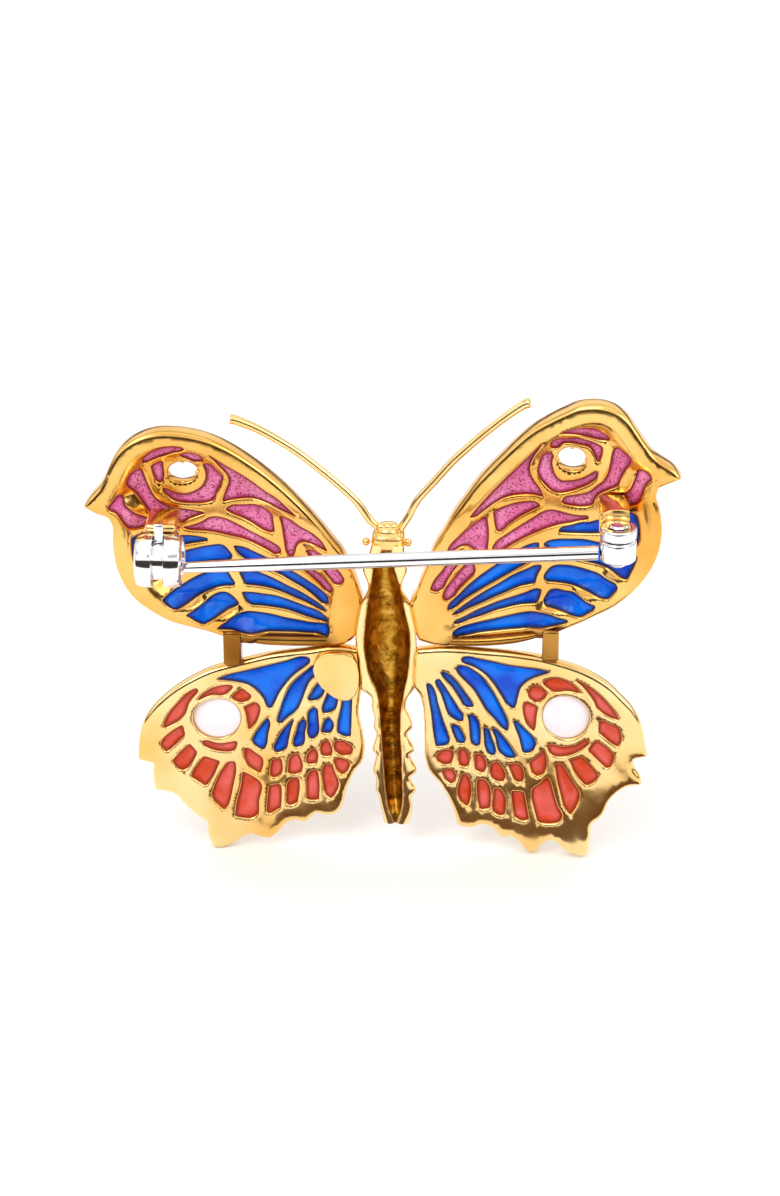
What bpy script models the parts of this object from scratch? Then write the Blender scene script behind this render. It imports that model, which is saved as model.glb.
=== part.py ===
"""Butterfly brooch: pierced gold wings glazed with enamel panes, a hollow-backed body,
and a pin stem that swings at a riveted hinge and locks in a turning catch.

The back of the brooch faces -Y and its decorated front faces +Y; +Z is up towards the head.
The origin is on the back plane, on the body's centre line, level with the middle of the stem.
Outlines and stations are in millimetres; MM turns them into metres.
"""
from math import cos, hypot, pi, sin

import bmesh
import bpy
from mathutils import Vector
from mathutils.geometry import delaunay_2d_cdt

MM = 0.001

# Wing plates
HALF_SPAN = 22.5          # half of the wingspan
TIP_SWEEP = 2.5           # how far the wing tips bend towards the back
PLATE = 1.1               # thickness of the pierced plates
FORE_RIM_EXTRA = 0.7      # extra thickness of the forewing's raised rim
FORE_DISH = 0.9           # how deep the forewing's enamel field lies below its rim
FORE_RIM_WIDTH = 1.0
FORE_DISH_SLOPE = 1.6
HIND_DISH = 0.3
HIND_RIM_WIDTH = 0.6
HIND_DISH_SLOPE = 1.2
ROOT_FLAT = 3.0           # the forewing root stays level with its rim up to this x
ROOT_BLEND = 2.5

# Enamel panes
PANE_BACK = 0.3           # from the plate's back face down to the pane
PANE_THICK = 0.5
FIT_GAP = 0.06            # clearance round a pane, a stone or a soldered piece

# Findings
STEM_Y = -5.0
STEM_RADIUS = 0.55
STEM_TIP_RADIUS = 0.38
STEM_MID_Z = -0.27
STEM_SLOPE = 0.0625
STEM_TIP_X = -17.3
HINGE_X = 16.9
HINGE_DISC_RADIUS = 1.35
EYE_LOW_Z = 0.2
EYE_HIGH_Z = 1.85
LEAF_LOW_Z = 1.95
LEAF_HIGH_Z = 2.8
RIVET_RADIUS = 0.4
RIVET_HEAD_RADIUS = 0.75
CATCH_X = -16.57
CATCH_Z = -0.7
BARREL_RADIUS = 2.0
BARREL_LENGTH = 3.45
BARREL_ROUND = 0.7
BORE_RADIUS = 1.5
RING_OUTER = 1.42
RING_INNER = 1.1
END_HOLE_RADIUS = 1.1
MOUTH_SECTORS = (24, 30)  # ten-degree sectors left open below, where the stem drops in
SLOT_SECTORS = (8, 24)    # sectors left open for the lever's sweep
RING_STATIONS = (-1.15, 0.2, 1.5)
LEVER_SLOT = 0.87
LEVER_WIDTH = 0.7
LEVER_THICK = 0.35
LEVER_REACH = 2.95
POST_BASE_Y = -0.8
CAST_GOLD = (0.93, 0.70, 0.33, 1.0)
WHITE_METAL = (0.85, 0.86, 0.88, 1.0)
ROSE = (0.85, 0.25, 0.50, 1.0)
ROYAL_BLUE = (0.02, 0.16, 0.85, 1.0)
EMBER = (0.90, 0.16, 0.05, 1.0)
PEARL = (0.92, 0.88, 0.90, 1.0)


# ---------------------------------------------------------------- left forewing, (x, z) in mm
# The rim runs from the neck along the leading edge, round the apex and down the outer edge.
LEFT_FORE_RIM = [
    (-2.0, -6.1), (-2.2, -5.3), (-2.5, -4.3), (-2.95, -3.2), (-3.4, -2.2), (-4.05, -1.3), (-5.05, 0.05),
    (-6.1, 1.35), (-7.4, 2.8), (-8.85, 4.2), (-10.3, 5.4), (-11.8, 6.45), (-13.1, 7.15), (-14.4, 7.6),
    (-15.75, 7.85), (-16.95, 7.9), (-18.1, 7.65), (-19.1, 7.15), (-19.85, 6.45), (-20.3, 5.7),
    (-20.7, 4.85), (-21.0, 4.15), (-21.4, 3.55), (-21.95, 2.95), (-22.45, 2.25), (-21.4, 1.55),
    (-20.75, 1.25), (-20.45, 0.65), (-20.45, -0.6), (-20.4, -1.65), (-20.2, -2.95), (-19.7, -4.3),
    (-18.95, -5.5), (-17.8, -6.55), (-16.45, -7.45), (-14.95, -8.0), (-13.6, -8.45), (-12.5, -8.9),
]
# The trailing side runs back to the body along the slit between the wings.
LEFT_FORE_TRAIL = [
    (-11.6, -9.35), (-10.4, -9.6), (-8.0, -9.85), (-5.4, -9.85), (-3.2, -9.55), (-2.55, -9.0), (-2.35, -8.2),
    (-2.2, -7.2),
]
LEFT_FORE_CELLS = [
    ("rose_crest", [
        (-18.15, 5.55), (-17.7, 6.15), (-17.0, 6.6), (-16.1, 6.75), (-15.4, 6.7), (-15.0, 6.55),
        (-15.2, 6.35), (-15.85, 6.15), (-16.5, 5.85), (-17.15, 5.6), (-17.8, 5.35), (-18.1, 5.25)]),
    ("rose_bean", [
        (-15.45, 5.8), (-15.15, 6.05), (-14.6, 6.15), (-14.1, 6.0), (-13.75, 5.55), (-13.75, 5.3),
        (-14.1, 5.2), (-14.5, 5.25), (-14.95, 5.5)]),
    ("rose_wedge", [
        (-17.55, 4.9), (-17.25, 5.1), (-16.7, 5.3), (-16.7, 4.8), (-16.65, 4.1), (-16.85, 3.55),
        (-17.1, 3.65), (-17.35, 4.15)]),
    ("rose_crescent", [
        (-13.6, 5.05), (-13.25, 5.05), (-13.0, 4.7), (-12.55, 4.15), (-12.3, 3.8), (-12.5, 3.25),
        (-12.8, 2.7), (-13.05, 2.05), (-13.7, 1.85), (-14.65, 1.85), (-15.45, 1.95), (-16.0, 2.15),
        (-16.45, 2.6), (-16.8, 3.1), (-16.45, 3.05), (-15.95, 2.75), (-15.35, 2.6), (-14.7, 2.65),
        (-14.15, 2.9), (-13.7, 3.35), (-13.55, 3.95), (-13.6, 4.45), (-13.75, 4.85)]),
    ("rose_band", [
        (-18.6, 4.8), (-18.25, 4.8), (-18.1, 4.25), (-17.8, 3.35), (-17.4, 2.5), (-16.8, 1.9),
        (-16.1, 1.5), (-15.2, 1.35), (-14.5, 1.2), (-13.7, 1.0), (-14.3, 0.8), (-15.05, 0.5),
        (-15.5, 0.2), (-16.25, 0.35), (-16.95, 0.8), (-17.65, 1.15), (-18.2, 2.0), (-18.8, 2.95),
        (-19.3, 3.65), (-19.25, 4.15), (-18.9, 4.65)]),
    ("rose_edge", [
        (-19.9, 3.0), (-19.6, 2.8), (-19.5, 2.3), (-19.1, 1.7), (-18.45, 1.1), (-17.85, 0.7),
        (-17.6, 0.4), (-17.85, 0.1), (-18.5, 0.15), (-19.2, 0.35), (-19.55, 0.8), (-19.85, 1.3),
        (-20.15, 1.7), (-20.5, 1.85), (-20.7, 2.1), (-20.4, 2.45)]),
    ("rose_sail", [
        (-13.3, 6.0), (-12.0, 5.05), (-11.05, 4.45), (-10.15, 3.8), (-9.25, 3.05), (-8.3, 2.35),
        (-7.55, 1.6), (-6.85, 0.85), (-7.4, 1.15), (-8.15, 1.5), (-9.05, 1.85), (-10.1, 2.1),
        (-11.1, 2.1), (-11.85, 2.0), (-12.4, 1.85), (-12.15, 2.65), (-11.85, 3.6), (-12.0, 4.15),
        (-12.45, 4.85), (-12.85, 5.5)]),
    ("rose_leaf", [
        (-12.2, 1.2), (-11.8, 1.5), (-10.85, 1.55), (-10.0, 1.55), (-9.25, 1.25), (-8.85, 0.85),
        (-8.7, 0.1), (-8.6, -0.55), (-8.8, -0.75), (-9.4, -0.5), (-10.2, 0.1), (-11.05, 0.6), (-11.8, 0.95)]),
    ("rose_sweep", [
        (-15.4, -0.1), (-14.9, -0.05), (-14.05, 0.2), (-13.35, 0.6), (-12.9, 0.65), (-12.2, 0.45),
        (-11.35, 0.0), (-10.4, -0.6), (-9.45, -1.15), (-8.65, -1.65), (-8.2, -2.05), (-8.15, -2.4),
        (-8.45, -2.5), (-9.1, -2.15), (-10.0, -1.6), (-10.95, -1.15), (-12.0, -0.85), (-13.1, -0.55),
        (-14.05, -0.4), (-14.9, -0.3)]),
    ("rose_fin", [
        (-8.15, 0.75), (-7.5, 0.65), (-6.65, 0.1), (-5.8, -0.4), (-5.1, -1.05), (-4.6, -1.95),
        (-5.15, -1.6), (-5.8, -1.35), (-6.5, -1.35), (-6.95, -1.75), (-7.15, -2.45), (-7.4, -2.85),
        (-7.65, -2.5), (-7.85, -1.5), (-8.0, -0.3)]),
    ("rose_finger_short", [
        (-6.25, -2.25), (-5.95, -2.05), (-5.2, -2.15), (-4.55, -2.75), (-3.8, -3.5), (-3.35, -4.2),
        (-3.6, -4.6), (-4.0, -4.65), (-4.55, -4.15), (-5.2, -3.45), (-5.95, -2.7)]),
    ("rose_finger_long", [
        (-7.0, -3.2), (-6.35, -3.4), (-5.65, -3.9), (-4.9, -4.45), (-4.25, -5.1), (-4.4, -5.55),
        (-4.75, -5.45), (-5.35, -4.85), (-6.1, -4.15), (-6.7, -3.6)]),
    ("blue_first", [
        (-19.05, -0.5), (-18.5, -0.4), (-17.8, -0.55), (-16.85, -0.7), (-15.8, -0.8), (-15.05, -0.8),
        (-14.1, -0.95), (-13.55, -1.1), (-13.65, -1.3), (-14.6, -1.4), (-15.4, -1.5), (-16.55, -1.55),
        (-17.65, -1.85), (-18.5, -2.35), (-18.9, -2.45), (-19.05, -1.6)]),
    ("blue_second_outer", [
        (-12.35, -1.75), (-12.1, -2.05), (-11.75, -2.55), (-12.0, -2.9), (-12.8, -2.95), (-14.2, -3.1),
        (-15.4, -3.45), (-16.6, -3.9), (-17.55, -4.25), (-17.9, -3.85), (-18.2, -3.2), (-17.65, -2.8),
        (-16.55, -2.5), (-15.4, -2.1), (-14.6, -1.9), (-13.5, -1.7)]),
    ("blue_second_inner", [
        (-11.65, -1.75), (-10.9, -1.9), (-10.05, -2.35), (-8.95, -2.95), (-7.85, -3.65), (-7.0, -4.15),
        (-6.15, -4.75), (-5.3, -5.4), (-4.65, -6.05), (-4.6, -6.5), (-4.95, -6.55), (-5.6, -6.0),
        (-6.45, -5.3), (-7.3, -4.75), (-8.2, -4.15), (-9.35, -3.6), (-10.3, -3.15), (-11.0, -2.7), (-11.35, -2.3)]),
    ("blue_third_outer", [
        (-16.95, -5.65), (-16.45, -5.3), (-15.7, -4.95), (-15.0, -4.5), (-14.25, -4.1), (-13.6, -3.85),
        (-12.95, -3.75), (-12.15, -3.9), (-11.9, -4.35), (-11.6, -4.85), (-11.75, -5.0), (-12.3, -5.0),
        (-13.05, -5.15), (-13.7, -5.4), (-14.45, -5.75), (-15.2, -6.15), (-16.0, -6.5), (-16.4, -6.25)]),
    ("blue_third_inner", [
        (-11.3, -3.8), (-10.1, -3.9), (-9.35, -4.2), (-8.5, -4.65), (-7.65, -5.15), (-6.8, -5.6),
        (-6.05, -6.1), (-5.3, -6.65), (-4.8, -7.05), (-4.85, -7.25), (-5.5, -6.95), (-6.35, -6.45),
        (-7.2, -6.05), (-8.1, -5.6), (-9.05, -5.25), (-10.0, -5.05), (-10.85, -4.95), (-11.05, -4.45)]),
    ("blue_fourth_outer", [
        (-15.2, -6.95), (-14.65, -6.65), (-13.9, -6.25), (-13.25, -5.8), (-12.55, -5.55), (-12.15, -5.65),
        (-11.7, -6.05), (-11.35, -6.5), (-11.5, -6.65), (-12.05, -6.8), (-12.8, -7.15), (-13.5, -7.55),
        (-13.9, -7.75), (-14.4, -7.55), (-14.9, -7.2)]),
    ("blue_fourth_inner", [
        (-11.1, -5.6), (-10.3, -5.65), (-9.45, -5.8), (-8.6, -5.95), (-7.75, -6.25), (-6.9, -6.6),
        (-6.1, -6.95), (-5.3, -7.3), (-4.8, -7.75), (-4.65, -8.0), (-5.15, -8.0), (-6.0, -7.75),
        (-6.9, -7.4), (-7.85, -7.05), (-8.8, -6.85), (-9.75, -6.7), (-10.5, -6.6), (-10.85, -6.2)]),
    ("blue_fifth", [
        (-12.95, -8.2), (-12.35, -7.75), (-11.65, -7.35), (-10.9, -7.2), (-9.95, -7.3), (-8.9, -7.5),
        (-7.85, -7.8), (-6.75, -8.05), (-5.6, -8.25), (-4.65, -8.15), (-4.55, -8.6), (-4.7, -9.05),
        (-6.0, -9.05), (-7.3, -8.95), (-8.65, -8.9), (-9.95, -8.8), (-11.0, -8.6), (-11.85, -8.3)]),
]


# ---------------------------------------------------------------- right forewing, (x, z) in mm
RIGHT_FORE_RIM = [
    (1.55, -6.15), (1.95, -5.35), (2.35, -4.2), (2.8, -3.05), (3.3, -1.5), (3.95, -0.3), (4.7, 1.15),
    (5.55, 2.5), (6.4, 3.8), (7.4, 5.05), (8.45, 6.25), (9.45, 7.35), (10.45, 8.3), (11.55, 9.1),
    (12.8, 9.85), (13.75, 10.35), (14.6, 10.55), (15.45, 10.6), (16.5, 10.35), (17.4, 9.7), (18.1, 8.75),
    (18.75, 7.8), (19.4, 7.0), (20.15, 6.5), (20.95, 6.0), (21.45, 5.35), (20.5, 4.85), (19.8, 4.45),
    (19.65, 3.65), (19.95, 2.6), (20.15, 1.15), (20.05, -0.3), (19.65, -1.7), (18.95, -3.05),
    (17.95, -4.35), (16.8, -5.45), (15.5, -6.3), (14.2, -7.1), (12.8, -7.85),
]
RIGHT_FORE_TRAIL = [
    (11.6, -8.6), (9.9, -9.15), (7.65, -9.5), (5.4, -9.6), (3.1, -9.5), (2.2, -9.2), (1.95, -8.5), (1.75, -7.3),
]
RIGHT_FORE_CELLS = [
    ("rose_crest", [
        (12.5, 8.15), (13.05, 8.45), (13.75, 8.6), (14.5, 8.55), (15.2, 8.4), (15.85, 8.1), (16.15, 7.8),
        (16.1, 7.6), (15.55, 7.6), (14.65, 7.75), (13.75, 7.95), (13.05, 8.1)]),
    ("rose_hook", [
        (11.8, 7.05), (12.0, 7.5), (12.35, 7.65), (13.05, 7.6), (13.8, 7.6), (14.5, 7.45), (15.05, 7.3),
        (15.65, 7.0), (15.65, 6.6), (15.45, 5.8), (15.3, 5.8), (15.0, 6.55), (14.7, 6.95), (14.0, 7.1),
        (13.25, 7.2), (12.7, 7.1), (12.35, 6.75), (12.0, 6.7)]),
    ("rose_crescent", [
        (11.35, 6.15), (11.75, 6.3), (12.1, 6.1), (11.95, 5.6), (12.05, 5.0), (12.25, 4.5), (12.6, 4.15),
        (13.35, 4.15), (14.1, 4.35), (14.7, 4.7), (15.25, 5.1), (15.4, 4.9), (15.2, 4.45), (14.65, 4.0),
        (13.9, 3.6), (13.2, 3.3), (12.45, 3.15), (12.1, 3.25), (11.5, 3.75), (11.05, 4.4), (10.95, 4.9),
        (11.1, 5.5)]),
    ("rose_band", [
        (16.6, 7.1), (16.85, 7.2), (17.4, 6.85), (17.75, 6.4), (17.65, 5.9), (17.3, 5.25), (17.0, 4.55),
        (16.85, 4.1), (16.25, 3.75), (15.5, 3.3), (15.15, 2.8), (15.1, 2.45), (14.6, 2.25), (13.7, 2.2),
        (12.85, 2.3), (12.8, 2.55), (12.95, 2.75), (13.85, 3.05), (14.8, 3.4), (15.3, 3.85),
        (15.85, 4.4), (16.15, 5.15), (16.3, 5.95), (16.4, 6.65)]),
    ("rose_edge", [
        (18.3, 5.65), (18.5, 5.75), (19.15, 5.45), (19.3, 5.2), (18.9, 4.7), (18.65, 3.9), (18.4, 3.3),
        (17.95, 2.85), (17.4, 2.55), (17.25, 2.75), (17.35, 3.4), (17.7, 3.9), (17.95, 4.5), (18.15, 5.15)]),
    ("rose_sail", [
        (6.0, 1.1), (6.75, 2.1), (7.7, 3.25), (8.6, 4.3), (9.75, 5.55), (10.4, 6.3), (11.25, 7.35),
        (11.05, 6.9), (10.6, 6.05), (10.35, 5.2), (10.35, 4.65), (10.65, 4.0), (11.15, 3.3), (11.4, 2.75),
        (10.6, 2.9), (9.75, 2.85), (8.7, 2.6), (7.85, 2.15), (7.1, 1.6), (6.4, 1.15)]),
    ("rose_leaf", [
        (7.75, 1.3), (8.25, 1.6), (9.15, 2.0), (10.1, 2.25), (10.85, 2.25), (11.2, 2.0), (10.45, 1.55),
        (9.55, 0.95), (8.8, 0.25), (8.25, -0.3), (8.0, -0.25), (7.85, 0.4)]),
    ("rose_sweep", [
        (7.7, -1.8), (7.95, -1.2), (8.7, -0.55), (9.65, 0.2), (10.6, 0.9), (11.5, 1.55), (11.9, 1.7),
        (12.75, 1.6), (13.85, 1.4), (14.75, 1.45), (14.8, 1.25), (13.7, 0.9), (12.75, 0.65), (11.8, 0.3),
        (10.9, -0.15), (9.95, -0.7), (9.0, -1.35), (8.3, -1.9), (7.85, -2.1)]),
    ("rose_fin", [
        (7.2, 0.95), (7.35, -0.2), (7.3, -1.65), (7.15, -2.5), (6.8, -2.3), (6.2, -1.8), (5.95, -1.55),
        (5.5, -1.4), (4.9, -1.6), (4.3, -1.95), (4.5, -1.35), (5.0, -0.7), (5.65, -0.1), (6.4, 0.5)]),
    ("rose_finger_short", [
        (5.3, -2.4), (5.5, -2.75), (4.9, -3.4), (4.35, -4.15), (3.85, -4.95), (3.5, -5.05), (3.1, -4.9),
        (3.3, -4.35), (3.9, -3.45), (4.75, -2.5)]),
    ("rose_finger_long", [
        (5.9, -2.9), (6.3, -3.05), (6.4, -3.6), (5.85, -4.35), (5.2, -5.1), (4.55, -5.9), (4.3, -5.95),
        (4.05, -5.6), (4.15, -5.1), (4.9, -4.15)]),
    ("blue_first", [
        (12.6, 0.0), (12.7, 0.25), (13.45, 0.55), (14.35, 0.9), (14.9, 0.95), (15.25, 1.1), (16.35, 1.35),
        (17.4, 1.85), (17.95, 2.1), (18.25, 2.05), (18.45, 1.35), (18.55, 0.6), (18.5, 0.0), (18.3, -0.35),
        (18.1, -0.25), (17.8, 0.3), (16.55, 0.3), (15.1, 0.1), (14.3, 0.05), (13.25, 0.0)]),
    ("blue_second_outer", [
        (11.5, -1.1), (11.8, -0.85), (12.45, -0.65), (13.45, -0.55), (14.65, -0.5), (15.3, -0.6), (16.4, -0.75),
        (17.5, -0.9), (18.2, -0.95), (18.4, -1.15), (18.2, -1.85), (17.95, -2.5), (17.75, -3.0),
        (17.5, -3.0), (16.65, -2.7), (15.7, -2.4), (14.8, -2.25), (14.15, -2.15), (12.95, -1.85),
        (12.05, -1.55)]),
    ("blue_second_inner", [
        (11.15, -1.0), (10.6, -1.15), (10.1, -1.4), (9.2, -2.0), (8.1, -2.95), (7.35, -3.55), (6.6, -4.2),
        (5.85, -4.95), (5.2, -5.7), (4.45, -6.45), (4.4, -6.8), (4.8, -6.7), (5.5, -6.05), (6.25, -5.5),
        (7.0, -4.95), (7.95, -4.3), (8.9, -3.65), (9.75, -3.05), (10.2, -2.75), (10.95, -2.0)]),
    ("blue_third_outer", [
        (11.55, -3.75), (11.7, -3.45), (12.15, -2.9), (13.3, -2.7), (14.4, -2.85), (15.4, -3.1),
        (16.25, -3.4), (16.9, -3.5), (17.05, -3.85), (16.8, -4.2), (16.35, -4.8), (15.9, -4.75),
        (15.15, -4.55), (14.25, -4.35), (13.3, -4.15), (12.35, -4.1), (11.75, -4.1)]),
    ("blue_third_inner", [
        (11.4, -2.85), (11.1, -2.85), (10.2, -3.3), (9.25, -3.8), (8.3, -4.5), (7.35, -5.15), (6.4, -5.85),
        (5.5, -6.6), (4.7, -7.25), (4.95, -7.25), (5.85, -6.75), (6.8, -6.25), (7.75, -5.7), (8.7, -5.2),
        (9.6, -4.7), (10.9, -4.3), (11.0, -3.8)]),
    ("blue_fourth_outer", [
        (11.6, -5.75), (11.8, -5.3), (12.1, -4.8), (12.55, -4.7), (13.1, -4.8), (13.85, -4.8), (14.6, -5.15),
        (15.45, -5.45), (15.3, -5.75), (14.8, -6.15), (14.35, -6.45), (13.95, -6.4), (13.15, -6.15),
        (12.4, -6.05), (11.75, -6.05)]),
    ("blue_fourth_inner", [
        (11.4, -4.85), (11.15, -4.8), (10.2, -5.2), (9.25, -5.6), (8.3, -6.0), (7.4, -6.45), (6.45, -6.95),
        (5.5, -7.55), (4.8, -7.9), (5.05, -8.0), (5.95, -7.65), (6.9, -7.25), (7.85, -6.8), (8.8, -6.45),
        (9.75, -6.15), (11.05, -5.95), (11.25, -5.45)]),
    ("blue_fifth", [
        (4.8, -8.6), (5.25, -8.4), (6.45, -7.95), (7.6, -7.6), (8.7, -7.25), (9.85, -6.9), (11.0, -6.65),
        (12.1, -6.55), (12.85, -6.7), (13.4, -6.8), (13.45, -6.95), (13.0, -7.12), (12.3, -7.35),
        (11.3, -7.7), (10.25, -8.05), (9.1, -8.25), (7.95, -8.45), (6.85, -8.65), (5.7, -8.95), (4.95, -9.0)]),
]


# ---------------------------------------------------------------- left hindwing, (x, z) in mm
LEFT_HIND_OUTLINE = [
    (-2.3, -10.1), (-2.9, -9.95), (-4.4, -9.85), (-6.0, -10.1), (-9.2, -10.5), (-11.1, -10.95), (-13.9, -11.75),
    (-14.9, -12.25), (-16.0, -12.9), (-16.95, -13.65), (-17.9, -14.6), (-18.65, -15.8), (-19.0, -17.2),
    (-19.15, -19.0), (-18.0, -19.4), (-18.05, -20.65), (-17.95, -21.7), (-16.5, -22.15), (-15.85, -22.95),
    (-14.95, -24.0), (-14.05, -24.75), (-13.95, -26.2), (-13.6, -27.0), (-12.9, -27.05), (-12.1, -26.7),
    (-11.4, -26.2), (-10.6, -25.95), (-9.9, -26.25), (-9.2, -26.35), (-8.55, -25.75), (-7.9, -25.0),
    (-7.4, -24.8), (-6.55, -25.0), (-6.0, -24.5), (-5.65, -24.15), (-4.65, -24.35), (-4.05, -24.2),
    (-3.8, -23.9), (-3.3, -22.1), (-2.7, -20.6), (-2.1, -19.7), (-1.9, -18.7), (-2.05, -17.2),
    (-2.3, -15.7), (-2.2, -14.2), (-2.05, -13.1), (-2.05, -12.0), (-2.15, -11.0),
]
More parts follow.
